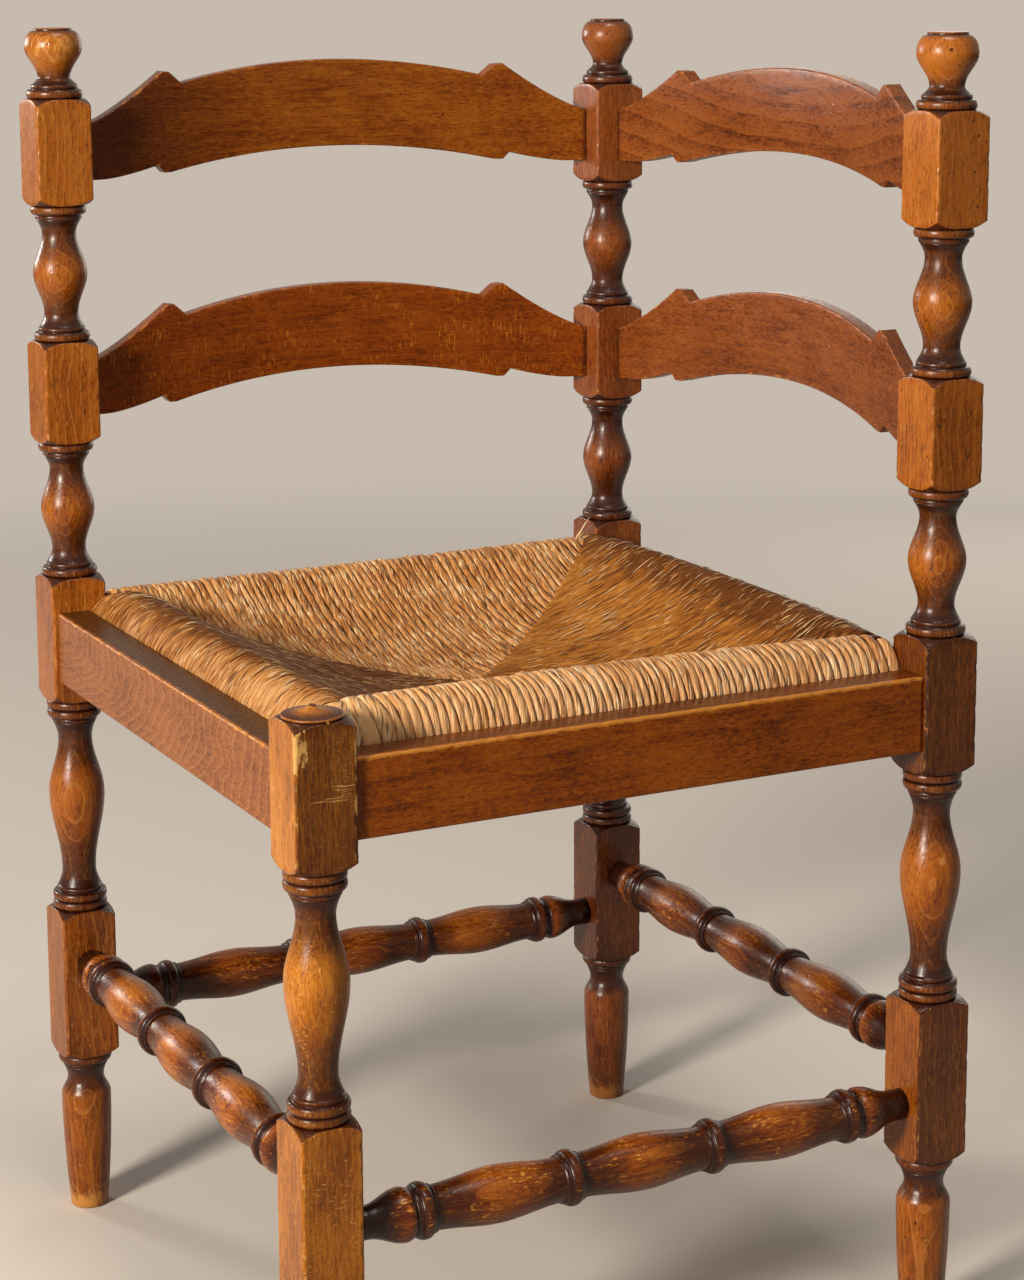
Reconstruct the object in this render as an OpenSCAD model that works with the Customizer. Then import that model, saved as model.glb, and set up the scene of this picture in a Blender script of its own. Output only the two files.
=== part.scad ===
// Corner chair with turned posts, two pairs of bowed ladder rails and a drop-in rush seat.
// Millimetres. +Z is up, the floor is z = 0 and the origin is the middle of the base.
// The two low sides face -X and -Y, and the two back rails stand on the +X and +Y sides.

/* [Frame] */
// Distance between the axes of two neighbouring posts
post_pitch = 408; // [380:1:440]
// Side of the square blocks left on the posts
block_side = 37; // [34:0.5:40]
// How far the corners of a block are turned down at each end
block_shoulder = 4.5; // [3:0.5:6]
// Wear taken off the long corners of a block, along its diagonal
block_arris = 0.7; // [0.3:0.1:1.2]

/* [Post heights] */
// Floor to the lowest block
foot_h = 111; // [100:1:125]
// Block that takes the stretchers
stretcher_block_h = 103.5; // [90:0.5:120]
// Vase turning between the stretchers and the seat
vase_turning_h = 145; // [130:1:165]
// Block that takes the seat rails
seat_block_h = 84.5; // [78:0.5:95]
// Turning above the seat
back_turning_low_h = 89.5; // [80:0.5:100]
// Block that takes the lower ladder rails
back_block_low_h = 67; // [60:0.5:75]
// Turning between the two ladder rails
back_turning_high_h = 88.5; // [80:0.5:100]
// Block that takes the upper ladder rails
back_block_high_h = 68.5; // [62:0.5:75]
// Finial above the highest block
finial_h = 45; // [42:0.5:50]

/* [Post turning] */
// Diameter of the beads beside the blocks
bead_d = 36; // [34:0.5:38]
// Height of one bead
bead_h = 6; // [5:0.5:7]
// Diameter of the flat fillets
fillet_d = 30; // [28:0.5:31]
// Height of a fillet
fillet_h = 3; // [2:0.5:4]
// Diameter at the hollows of the back turnings
cove_d = 22; // [20:0.5:24]
// Height from a fillet to the hollow of a back turning
cove_h = 9; // [7:0.5:11]
// Diameter of the bulbs on the back turnings
bulb_d = 35; // [32:0.5:37]
// Diameter of the vase below the seat
vase_d = 37; // [33:0.5:38]
// Diameter of the vase's neck and of the hollow above it
vase_neck_d = 22.5; // [20:0.5:25]
// Height from a fillet to the vase's neck
vase_cove_h = 12; // [9:0.5:14]
// Height from the vase's neck to its widest point
vase_rise = 53; // [45:1:60]
// Diameter of the foot at the floor
foot_d = 25; // [22:0.5:28]
// Diameter of the bulb on the foot
foot_bulb_d = 33.5; // [31:0.5:36]
// Height of the foot's bulb above the floor
foot_bulb_z = 80.5; // [70:0.5:84]
// Diameter of the foot's neck
foot_neck_d = 24.5; // [22:0.5:27]
// Height from the foot's bulb to its neck
foot_neck_h = 12.5; // [9:0.5:14]
// Diameter of the finial's knob
finial_d = 37; // [33:0.5:40]
// Diameter of the finial's neck
finial_neck_d = 21; // [19:0.5:23]
// Height of the widest point of the knob below the finial's top
finial_crown_h = 12; // [10:0.5:14]
// Height from the fillet to the finial's neck
finial_cove_h = 5; // [4:0.5:6]
// Diameter of the button on top of the finial
button_d = 24.5; // [20:0.5:27]
// Height of the button
button_h = 1.5; // [1:0.25:2.5]
// Diameter of the disc on top of the front post
cap_d = 35; // [32:0.5:36]
// Height of that disc
cap_disc_h = 1.8; // [1:0.2:3]
// Height of the whole turned cap on the front post
cap_h = 7; // [5:0.5:10]
// Flat rim on that disc
cap_rim = 1; // [0.5:0.25:2]

/* [Ladder rails] */
// Thickness of a ladder rail
ladder_t = 11; // [9:0.5:12]
// How far a ladder rail bows outwards between its posts
ladder_bow = 24; // [10:1:28]
// Front face of a ladder rail in front of the post axes, at the posts
ladder_inset = 2.5; // [1.5:0.25:4]
// Height of a ladder rail where it meets the posts
ladder_end_h = 36; // [32:1:44]
// Top of the arch above the middle of the rail's ends
ladder_crown = 57; // [50:1:65]
// Foot of the arch, at the notch, above the middle of the rail's ends
ladder_notch = 43; // [38:1:46]
// Point beside the notch, above the middle of the rail's ends
ladder_point = 51; // [48:1:56]
// Distance of the notch from the middle of the rail
ladder_notch_x = 112; // [100:1:120]
// Width of the slope from the notch to the point
ladder_step_w = 9; // [6:0.5:12]
// Width of the flat on the point
ladder_point_w = 5; // [2:0.5:8]
// Fall of that flat towards the notch
ladder_point_tilt = 0.5; // [0:0.25:1]
// Top of the hollow under the rail, below the middle of the rail's ends
ladder_hollow = 2.8; // [0:0.2:6]
// Lower point beside the hollow, below the middle of the rail's ends
ladder_low_point = 15.8; // [12:0.2:18]
// Depth of the step beside the lower point
ladder_low_step = 5; // [3:0.5:7]
// Length of the level stretch under each end
ladder_flat_w = 14; // [8:1:20]
// Middle of the lower rail's ends above the middle of its blocks
ladder_low_shift = 1; // [-4:0.5:4]
// Middle of the upper rail's ends above the middle of its blocks
ladder_high_shift = -2; // [-4:0.5:4]
// How much higher each hand-cut rail's crown, points, hollow and lower points lie than that outline's
upper_left_cut = [-1, 0, 0, 0];
upper_right_cut = [-4.5, -4, 0.5, 0];
lower_left_cut = [0, 0, 1.5, 0.5];
lower_right_cut = [2, 0, 5.5, 2.5];
// Thickness of a ladder rail's tenon
ladder_tenon_t = 8; // [6:0.5:9]
// Height of that tenon
ladder_tenon_h = 28; // [22:1:31]

/* [Seat rails] */
// Height of a seat rail
seat_rail_h = 46.5; // [40:0.5:55]
// Thickness of a seat rail
seat_rail_t = 22; // [19:0.5:23]
// Outer face of a seat rail behind the face of the posts
seat_rail_setback = 3; // [1:0.5:5]
// Top of a seat rail below the top of the seat block
seat_rail_drop = 22; // [18:0.5:26]
// Radius worn on the outer top edge
seat_rail_round = 2; // [1:0.5:4]
// Thickness of a seat rail's tenon
seat_rail_tenon_t = 10; // [8:0.5:12]
// Height of that tenon
seat_rail_tenon_h = 30; // [24:1:36]

/* [Stretchers] */
// Lower stretchers above the foot of their block
stretcher_low = 36; // [28:1:40]
// Upper stretchers above the lower ones
stretcher_step = 31; // [24:1:36]
// Diameter of the long bulbs
stretcher_bulb_d = 33; // [30:0.5:35]
// Diameter at the ends of the bulbs
stretcher_waist_d = 26; // [23:0.5:28]
// Diameter of the bead in a collar
collar_d = 33; // [31:0.5:36]
// Width of that bead
collar_bead_w = 8; // [6:0.5:9]
// Diameter of the fillets beside it
collar_fillet_d = 28.5; // [27:0.5:30]
// Width of each fillet
collar_fillet_w = 2.5; // [1.5:0.5:3.5]
// Distance of the inner collars from the middle
collar_inner_x = 48; // [40:1:56]
// Distance of the outer collars from the middle
collar_outer_x = 143; // [135:1:148]
// Diameter of the short end bulb
stretcher_end_bulb_d = 31.5; // [28:0.5:33]
// Diameter where a stretcher meets the post
stretcher_end_d = 19; // [17:0.5:21]
// Straight part next to the post
stretcher_end_l = 8; // [5:0.5:12]
// Diameter of a stretcher's round tenon
stretcher_tenon_d = 15; // [13:0.5:17]
// Length of that tenon
stretcher_tenon_l = 15; // [12:0.5:20]

/* [Drop-in seat] */
// Gap between the seat and the rails and posts round it
seat_gap = 0.65; // [0.4:0.05:1]
// Underside of the seat's edge below the top of the seat rails
seat_depth = 18; // [15:0.5:22]
// Highest part of the rush above the top of the seat rails
seat_crest = 20; // [17:0.5:23]
// Distance of that crest from the seat's edge
seat_roll = 26; // [20:0.5:30]
// How far the worn rush hangs down in the middle, on top
seat_sag = 48; // [30:1:55]
// How far it hangs down below
seat_sag_under = 32; // [26:1:40]
// Thickness of the rush over its frame
rush_t = 4.8; // [4:0.2:6]
// Width of the seat frame's rails
frame_rail_w = 20; // [16:0.5:22]
// Packing between the top of the seat frame and the rush
frame_packing = 10; // [8:0.5:12]
// Rounding of the seat frame's long edges
frame_rail_round = 4; // [2:0.5:6]
// Length of a cross rail's tenon in the seat frame
frame_tenon_l = 12; // [9:0.5:15]
// Thickness of that tenon
frame_tenon_t = 6; // [4:0.5:7]
// Height of that tenon
frame_tenon_h = 10; // [8:0.5:12]

/* [Corner blocks] */
// Length of a corner block along a seat rail, from the post
corner_block_l = 45; // [36:1:55]
// Height of a corner block
corner_block_h = 24; // [18:1:28]
// Diameter of a screw's shank
screw_d = 4; // [3:0.5:5]
// Diameter of a screw's head
screw_head_d = 8; // [7:0.5:9]
// Length of a screw
screw_l = 32; // [24:1:34]
// Depth of a screw in the seat rail
screw_bite = 15; // [10:0.5:18]
// Distance of a screw from the post's inner face
screw_x = 24; // [18:0.5:28]

/* [Fits] */
// Room round a tenon in its mortise
tenon_ease = 0.15; // [0.05:0.05:0.3]
// Room between the end of a tenon and the bottom of its mortise
tenon_end_ease = 1; // [0.5:0.25:1.5]
// Wood between the end of a tenon and the tenon that crosses it in the same post
tenon_wall = 3; // [2:0.5:4]
// Room round a screw
screw_ease = 0.15; // [0.05:0.05:0.3]
// Room between the rush and its frame
rush_ease = 0.2; // [0.1:0.05:0.4]

/* [Hidden] */
$fn = 64;

// The four sides, counted from the front right one, anticlockwise from above
FRONT_RIGHT = 0;
BACK_RIGHT = 1;
BACK_LEFT = 2;
FRONT_LEFT = 3;

half_pitch = post_pitch / 2;
block_half = block_side / 2;
block_corner_r = block_half * sqrt(2) - block_arris;
// Half the clear length between two posts
half_clear = half_pitch - block_half;

// Heights of the lower and upper ends of the blocks
stretcher_block_z = foot_h;
vase_turning_z = stretcher_block_z + stretcher_block_h;
seat_block_z = vase_turning_z + vase_turning_h;
back_turning_low_z = seat_block_z + seat_block_h;
back_block_low_z = back_turning_low_z + back_turning_low_h;
back_turning_high_z = back_block_low_z + back_block_low_h;
back_block_high_z = back_turning_high_z + back_turning_high_h;
finial_z = back_block_high_z + back_block_high_h;

stretcher_low_z = stretcher_block_z + stretcher_low;
stretcher_high_z = stretcher_low_z + stretcher_step;
seat_rail_top = back_turning_low_z - seat_rail_drop;
seat_rail_mid_z = seat_rail_top - seat_rail_h / 2;
ladder_low_z = back_block_low_z + back_block_low_h / 2 + ladder_low_shift;
ladder_high_z = back_block_high_z + back_block_high_h / 2 + ladder_high_shift;

// Distances of a side's faces from the middle of the seat
rail_outer = half_pitch + block_half - seat_rail_setback;
rail_inner = rail_outer - seat_rail_t;
seat_half = rail_inner - seat_gap;
notch_half = half_clear - seat_gap;
seat_base_z = seat_rail_top - seat_depth;
frame_outer = seat_half - rush_t;
frame_inner = frame_outer - frame_rail_w;
frame_end = notch_half - rush_t;
frame_z = seat_base_z + rush_t;
frame_rail_h = seat_depth + seat_crest - 2 * rush_t - frame_packing;

// Middle of each rail's tenons across the side, and how far they reach into the post
seat_tenon_y = -rail_outer + seat_rail_t / 2;
seat_tenon_l = -seat_tenon_y - seat_rail_tenon_t / 2 - half_clear - tenon_wall;
ladder_tenon_y = -half_pitch + ladder_inset - ladder_t / 2;
ladder_tenon_l = -ladder_tenon_y - ladder_tenon_t / 2 - half_clear - tenon_wall;

// Inner face of a bowed ladder rail: radius, and place of its axis
bow_r = (pow(half_clear, 2) + pow(ladder_bow, 2)) / (2 * ladder_bow);
bow_y = -half_pitch + ladder_inset - ladder_bow + bow_r;
ladder_outer = half_pitch - ladder_inset + ladder_bow + ladder_t;
// The bowed rails stand out past the posts on two sides, so the posts sit off the middle
post_outer = half_pitch + max(block_side, vase_d, finial_d) / 2;
centre_shift = -max(0, ladder_outer - post_outer) / 2;

corner_block_top = seat_base_z;
corner_block_tip = half_clear - corner_block_l;
// Bevel under the seat's edge, and how far its flat underside runs past the corner blocks
seat_edge = 4;
// Width of that flat underside
rush_flat = seat_half - (corner_block_tip + rail_inner) / 2 + seat_edge;
// How quickly the roll at the edge, the dish and the underside level out
roll_power = 3;
dish_power = 2.4;
under_power = 2.2;
screw_z = corner_block_top - corner_block_h / 2;
screw_head_h = (screw_head_d - screw_d) / 2;

// Number of straight steps in one curve of a turning
curve_steps = 8;
// How much smaller the root of a bead is than the bead, in radius
bead_root = 1.8;
// Radius of the round tip on the front post's cap
cap_tip_r = 2.5;
// How much an end bulb of a stretcher swells beside its collar, in radius, and over what length
end_bulb_rise = 1.5;
end_bulb_run = 5;
// Length kept past a face so that a cut goes through
past = 1;

wood = "#8f4f22";
wood_light = "#a8642e";
wood_dark = "#6e3518";
raw_wood = "#c79a66";
rush = "#c09552";
steel = "#9a9a94";

// Points of a bead of height h that starts at height z
function bead(r, z, h) =
    [for (i = [0:curve_steps]) let (a = 180 * i / curve_steps)
        [r - bead_root + bead_root * sin(a), z + h * (1 - cos(a)) / 2]];

// Smooth curve between two radii, level at both ends
function swell(r1, z1, r2, z2) =
    [for (i = [1:curve_steps]) let (t = i / curve_steps)
        [r1 + (r2 - r1) * (1 - cos(180 * t)) / 2, z1 + (z2 - z1) * t]];

// Hollow that runs up from a fillet at r1 to a neck at r2
function hollow_up(r1, z1, r2, z2) =
    [for (i = [0:curve_steps / 2]) let (t = 2 * i / curve_steps)
        [r2 + (r1 - r2) * (1 - sin(90 * t)), z1 + (z2 - z1) * t]];

function reversed(points) = [for (i = [len(points) - 1:-1:0]) points[i]];
function raised(points, z) = [for (p = points) [p[0], p[1] + z]];
function upside_down(points, h) = reversed([for (p = points) [p[0], h - p[1]]]);
// Leaves out points that repeat the one before
function spaced(points) =
    [for (i = [0:len(points) - 1]) if (i == 0 || norm(points[i] - points[i - 1]) > 0.01) points[i]];

// Turned moulding that stands on a block: beads, a fillet and a hollow to a neck
function moulding(beads, neck_d, hollow_h) =
    let (fillet_z = beads * bead_h, hollow_z = fillet_z + fillet_h)
    concat([for (k = [0:beads - 1]) each bead(bead_d / 2, k * bead_h, bead_h)],
           [[fillet_d / 2, fillet_z]],
           hollow_up(fillet_d / 2, hollow_z, neck_d / 2, hollow_z + hollow_h));

// One back turning of height h, with its bulb halfway up
function back_turning(h) =
    let (ends = moulding(1, cove_d, cove_h), neck_z = bead_h + fillet_h + cove_h)
    concat(ends, swell(cove_d / 2, neck_z, bulb_d / 2, h / 2),
           swell(bulb_d / 2, h / 2, cove_d / 2, h - neck_z), upside_down(ends, h));

// The vase turning between the stretchers and the seat
function vase_turning() =
    let (ends = moulding(2, vase_neck_d, vase_cove_h), neck_z = 2 * bead_h + fillet_h + vase_cove_h,
         h = vase_turning_h, widest_z = neck_z + vase_rise)
    concat(ends, swell(vase_neck_d / 2, neck_z, vase_d / 2, widest_z),
           swell(vase_d / 2, widest_z, vase_neck_d / 2, h - neck_z), upside_down(ends, h));

// The foot: a taper up to a bulb, a neck, a fillet and a bead under the block
function foot() =
    let (neck_z = foot_bulb_z + foot_neck_h, bead_z = foot_h - bead_h)
    concat([for (i = [0:curve_steps]) let (t = i / curve_steps)
               [foot_d / 2 + (foot_bulb_d - foot_d) / 2 * (1 - pow(1 - t, 1.8)), foot_bulb_z * t]],
           swell(foot_bulb_d / 2, foot_bulb_z, foot_neck_d / 2, neck_z),
           reversed(hollow_up(fillet_d / 2, bead_z - fillet_h, foot_neck_d / 2, neck_z)),
           [[fillet_d / 2, bead_z]],
           bead(bead_d / 2, bead_z, bead_h));

// The finial: a bead, a fillet, a neck, a knob and a flat button
function finial() =
    let (neck_z = bead_h + fillet_h + finial_cove_h, wide_z = finial_h - finial_crown_h,
         crown_h = finial_crown_h - button_h)
    concat(moulding(1, finial_neck_d, finial_cove_h),
           swell(finial_neck_d / 2, neck_z, finial_d / 2, wide_z),
           [for (i = [1:curve_steps]) let (a = 90 * i / curve_steps)
               [button_d / 2 + (finial_d - button_d) / 2 * cos(a), wide_z + crown_h * sin(a)]],
           [[button_d / 2, finial_h], [0, finial_h]]);

// The cap of the front post: a disc, and a hollow cone up to a round tip
function cap() =
    let (tip_z = cap_h - cap_tip_r / 2)
    concat([[cap_d / 2, 0], [cap_d / 2, cap_disc_h]],
           hollow_up(cap_d / 2 - cap_rim, cap_disc_h, cap_tip_r, tip_z),
           [for (i = [1:4]) let (a = 90 * i / 4)
               [cap_tip_r * cos(a), tip_z + (cap_h - tip_z) * sin(a)]]);

// A square block of a post, with its corners turned down at both ends
module block(z, h) {
    corner = block_corner_r - block_half;
    shoulder = [for (i = [0:curve_steps]) let (t = i / curve_steps)
        [block_half + corner * t, block_shoulder * pow(t, 1.3)]];
    intersection() {
        translate([-block_half, -block_half, z])
            cube([block_side, block_side, h]);
        rotate_extrude()
            polygon(concat([[0, z]], raised(shoulder, z), raised(upside_down(shoulder, h), z), [[0, z + h]]));
    }
}

// A turned length that starts at height z and runs a little way into the blocks below and above it
module turned(points, z, into_low = past, into_high = past) {
    first = points[0];
    last = points[len(points) - 1];
    translate([0, 0, z])
        rotate_extrude()
            polygon(spaced(concat([[0, first[1] - into_low], [first[0], first[1] - into_low]], points,
                                  [[last[0], last[1] + into_high], [0, last[1] + into_high]])));
}

// The turned legs and blocks up to the top of the seat block
module lower_post() {
    turned(foot(), 0, into_low = 0);
    block(stretcher_block_z, stretcher_block_h);
    turned(vase_turning(), vase_turning_z);
    block(seat_block_z, seat_block_h);
}

module short_post() {
    lower_post();
    turned(cap(), back_turning_low_z, into_high = 0);
}

module tall_post() {
    lower_post();
    turned(back_turning(back_turning_low_h), back_turning_low_z);
    block(back_block_low_z, back_block_low_h);
    turned(back_turning(back_turning_high_h), back_turning_high_z);
    block(back_block_high_z, back_block_high_h);
    turned(finial(), finial_z, into_high = 0);
}

// Turns a piece made for the front right side to another side
module on_side(side) {
    translate([centre_shift, centre_shift, 0])
        rotate(90 * side)
            children();
}

module at_both_ends() {
    children();
    mirror([1, 0, 0])
        children();
}

// Flat tenons run along X from just inside their rail, and have room round them for a mortise
module flat_tenon(l, t, h, y, z, side_ease, end_ease) {
    translate([half_clear - past, y - t / 2 - side_ease, z - h / 2 - side_ease])
        cube([past + l + end_ease, t + 2 * side_ease, h + 2 * side_ease]);
}

module seat_rail_tenon(side_ease = 0, end_ease = 0) {
    flat_tenon(seat_tenon_l, seat_rail_tenon_t, seat_rail_tenon_h, seat_tenon_y, seat_rail_mid_z,
               side_ease, end_ease);
}

module ladder_tenon(z, side_ease = 0, end_ease = 0) {
    flat_tenon(ladder_tenon_l, ladder_tenon_t, ladder_tenon_h, ladder_tenon_y, z, side_ease, end_ease);
}

module round_tenon(z, side_ease = 0, end_ease = 0) {
    translate([half_clear - past, -half_pitch, z])
        rotate([0, 90, 0])
            cylinder(d = stretcher_tenon_d + 2 * side_ease, h = past + stretcher_tenon_l + end_ease);
}

function stretcher_z(side) = side % 2 == 0 ? stretcher_low_z : stretcher_high_z;
function has_ladder(side) = side == BACK_RIGHT || side == BACK_LEFT;

// Mortises that one side cuts in its two posts
module mortises(side) {
    on_side(side)
        at_both_ends() {
            seat_rail_tenon(tenon_ease, tenon_end_ease);
            round_tenon(stretcher_z(side), tenon_ease, tenon_end_ease);
            if (has_ladder(side)) {
                ladder_tenon(ladder_low_z, tenon_ease, tenon_end_ease);
                ladder_tenon(ladder_high_z, tenon_ease, tenon_end_ease);
            }
        }
}

// A post stands at the left end of its own side, and also takes the side before
module post(side) {
    difference() {
        on_side(side)
            translate([-half_pitch, -half_pitch, 0])
                if (side == FRONT_RIGHT) short_post(); else tall_post();
        mortises(side);
        mortises((side + 3) % 4);
    }
}

// Right half of a ladder rail's outline, from the top of the arch round to the hollow below
function ladder_outline(cut) =
    let (crown = ladder_crown + cut[0], notch = ladder_notch + cut[1], point = ladder_point + cut[1],
         hollow = -ladder_hollow + cut[2], low_point = -ladder_low_point + cut[3],
         notch_x = ladder_notch_x, point_x = notch_x + ladder_step_w, slope_x = point_x + ladder_point_w,
         low_step_x = slope_x + ladder_low_step, end_z = ladder_end_h / 2,
         flat_x = half_clear - ladder_flat_w, run = half_clear - slope_x, low_run = flat_x - low_step_x,
         step_z = low_point + ladder_low_step)
    concat([for (i = [0:10]) let (t = i / 10)
               [notch_x * t, crown - (crown - notch) * t * t]],
           [[point_x, point - ladder_point_tilt]],
           [for (i = [0:8]) let (t = i / 8)
               [slope_x + run * t, end_z + (point - end_z) * pow(1 - t, 1.3)]],
           [[half_clear, -end_z]],
           [for (i = [0:6]) let (t = i / 6)
               [flat_x - low_run * t, -end_z + (step_z + end_z) * pow(t, 1.5)]],
           [[slope_x, low_point]],
           [for (i = [0:10]) let (t = 1 - i / 10)
               [point_x * t, hollow + (low_point - hollow) * t * t]]);

module ladder_rail(side, z, cut) {
    half = ladder_outline(cut);
    whole = concat(half, [for (i = [len(half) - 2:-1:1]) [-half[i][0], half[i][1]]]);
    on_side(side) {
        intersection() {
            translate([0, -half_pitch + block_half, z])
                rotate([90, 0, 0])
                    linear_extrude(height = block_side + ladder_bow + ladder_t)
                        polygon(whole);
            translate([0, bow_y, z - post_pitch / 4])
                difference() {
                    cylinder(r = bow_r + ladder_t, h = post_pitch / 2, $fn = 360);
                    translate([0, 0, -past])
                        cylinder(r = bow_r, h = post_pitch / 2 + 2 * past, $fn = 360);
                }
        }
        at_both_ends()
            ladder_tenon(z);
    }
}

// Cross-section of a seat rail, with its outer top edge worn round
module seat_rail_section() {
    r = seat_rail_round;
    polygon(concat([[0, 0], [seat_rail_t, 0], [seat_rail_t, seat_rail_h]],
        [for (i = [0:6]) let (a = 90 * i / 6) [r - r * sin(a), seat_rail_h - r + r * cos(a)]]));
}

// Pilot holes for the corner-block screws, and the screws, share one place at each end of a side
module at_screws() {
    at_both_ends()
        translate([half_clear - screw_x, -rail_inner - screw_bite, screw_z])
            rotate([-90, 0, 0])
                children();
}

module seat_rail(side) {
    on_side(side)
        difference() {
            union() {
                translate([-half_clear, -rail_outer, seat_rail_top - seat_rail_h])
                    rotate([90, 0, 90])
                        linear_extrude(height = 2 * half_clear)
                            seat_rail_section();
                at_both_ends()
                    seat_rail_tenon();
            }
            at_screws()
                translate([0, 0, -screw_ease])
                    cylinder(d = screw_d + 2 * screw_ease, h = screw_bite + past + screw_ease);
        }
}

// Collar on a stretcher, centred at x: a bead between two fillets
function collar(x) =
    let (r = collar_fillet_d / 2, half = collar_bead_w / 2 + collar_fillet_w, bead_x = x - collar_bead_w / 2)
    concat([[r, x - half], [r, bead_x]],
           [for (i = [1:curve_steps - 1]) let (a = 180 * i / curve_steps)
               [r + (collar_d / 2 - r) * sin(a), bead_x + collar_bead_w * (1 - cos(a)) / 2]],
           [[r, x + collar_bead_w / 2], [r, x + half]]);

// Half of a stretcher's outline as radius and distance from the middle
function stretcher_outline() =
    let (waist = stretcher_waist_d / 2, wide = stretcher_bulb_d / 2,
         half = collar_bead_w / 2 + collar_fillet_w,
         a = collar_inner_x - half, b = collar_inner_x + half,
         c = collar_outer_x - half, d = collar_outer_x + half,
         neck = half_clear - stretcher_end_l, wide_end = d + end_bulb_run)
    concat(swell(wide, 0, waist, a), collar(collar_inner_x),
           [[waist, b]], swell(waist, b, wide, (b + c) / 2), swell(wide, (b + c) / 2, waist, c),
           collar(collar_outer_x), [[stretcher_end_bulb_d / 2 - end_bulb_rise, d]],
           swell(stretcher_end_bulb_d / 2 - end_bulb_rise, d, stretcher_end_bulb_d / 2, wide_end),
           swell(stretcher_end_bulb_d / 2, wide_end, stretcher_end_d / 2, neck),
           [[stretcher_end_d / 2, half_clear]]);

module stretcher(side) {
    half = stretcher_outline();
    low_half = reversed([for (p = half) [p[0], -p[1]]]);
    on_side(side) {
        translate([0, -half_pitch, stretcher_z(side)])
            rotate([0, 90, 0])
                rotate_extrude()
                    polygon(spaced(concat([[0, -half_clear]], low_half, [[stretcher_bulb_d / 2, 0]],
                                          half, [[0, half_clear]])));
        at_both_ends()
            round_tenon(stretcher_z(side));
    }
}

// Glued and screwed block in a corner of the seat rails, notched round the post
module corner_block(side) {
    on_side(side)
        difference() {
            translate([0, 0, corner_block_top - corner_block_h])
                linear_extrude(height = corner_block_h)
                    polygon([[-corner_block_tip, -rail_inner], [-half_clear, -rail_inner],
                             [-half_clear, -half_clear], [-rail_inner, -half_clear],
                             [-rail_inner, -corner_block_tip]]);
            screw_holes();
            rotate(-90)
                screw_holes();
        }
}

// Shank hole and head recess of every screw of a side, from inside the corner blocks
module screw_holes() {
    at_screws() {
        translate([0, 0, screw_bite - past])
            cylinder(d = screw_d + 2 * screw_ease, h = screw_l - screw_bite + past);
        translate([0, 0, screw_l - screw_head_h - screw_ease])
            cylinder(d = screw_head_d + 2 * screw_ease, h = corner_block_l);
    }
}

module screw() {
    cylinder(d = screw_d, h = screw_l - screw_head_h / 2);
    translate([0, 0, screw_l - screw_head_h])
        cylinder(d1 = screw_d, d2 = screw_head_d, h = screw_head_h);
}

module screws() {
    for (side = [FRONT_RIGHT:FRONT_LEFT])
        on_side(side)
            at_screws()
                screw();
}

// Rounded section of a seat-frame rail, grown by the room that the rush leaves round it
module frame_section(ease = 0) {
    r = frame_rail_round + ease;
    w = frame_rail_w + 2 * ease;
    h = frame_rail_h + 2 * ease;
    corners = [[w - r, h - r], [r, h - r], [r, r], [w - r, r]];
    polygon([for (k = [0:3], i = [0:4]) let (a = 90 * (k + i / 4))
        [corners[k][0] + r * cos(a) - ease, corners[k][1] + r * sin(a) - ease]]);
}

// Long rails run past the cross rails, and the cross rails are tenoned into them
function frame_rail_half(side) = side % 2 == 1 ? frame_end : frame_inner;

module frame_rail_body(side, ease = 0) {
    half = frame_rail_half(side) + (side % 2 == 1 ? ease : 0);
    translate([-half, -frame_outer, frame_z])
        rotate([90, 0, 90])
            linear_extrude(height = 2 * half)
                frame_section(ease);
}

// Tenon of a cross rail, in the width that the notched corner leaves
module frame_rail_tenon(side_ease = 0, end_ease = 0) {
    mid_y = (frame_inner + frame_end) / 2;
    at_both_ends()
        translate([frame_inner - past, -mid_y - frame_tenon_t / 2 - side_ease,
                   frame_z + (frame_rail_h - frame_tenon_h) / 2 - side_ease])
            cube([frame_tenon_l + past + end_ease, frame_tenon_t + 2 * side_ease,
                  frame_tenon_h + 2 * side_ease]);
}

module frame_rail(side) {
    on_side(side)
        if (side % 2 == 1)
            difference() {
                frame_rail_body(side);
                rotate(90)
                    frame_rail_tenon(tenon_ease, tenon_end_ease);
                rotate(-90)
                    frame_rail_tenon(tenon_ease, tenon_end_ease);
            }
        else {
            frame_rail_body(side);
            frame_rail_tenon();
        }
}

// Height of the rush over the seat rails at distance d from the seat's edge, on top
function rush_top(d) =
    d < seat_roll
        ? seat_crest * (1 - pow(1 - d / seat_roll, roll_power))
        : seat_crest - seat_sag * (1 - pow(1 - (d - seat_roll) / (seat_half - seat_roll), dish_power));

// The same below, where the edge is flat as far in as its corner blocks reach
function rush_under(d) =
    let (t = max(0, d - rush_flat) / (seat_half - rush_flat))
    -seat_depth - seat_sag_under * (1 - pow(1 - t, under_power));

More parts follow.
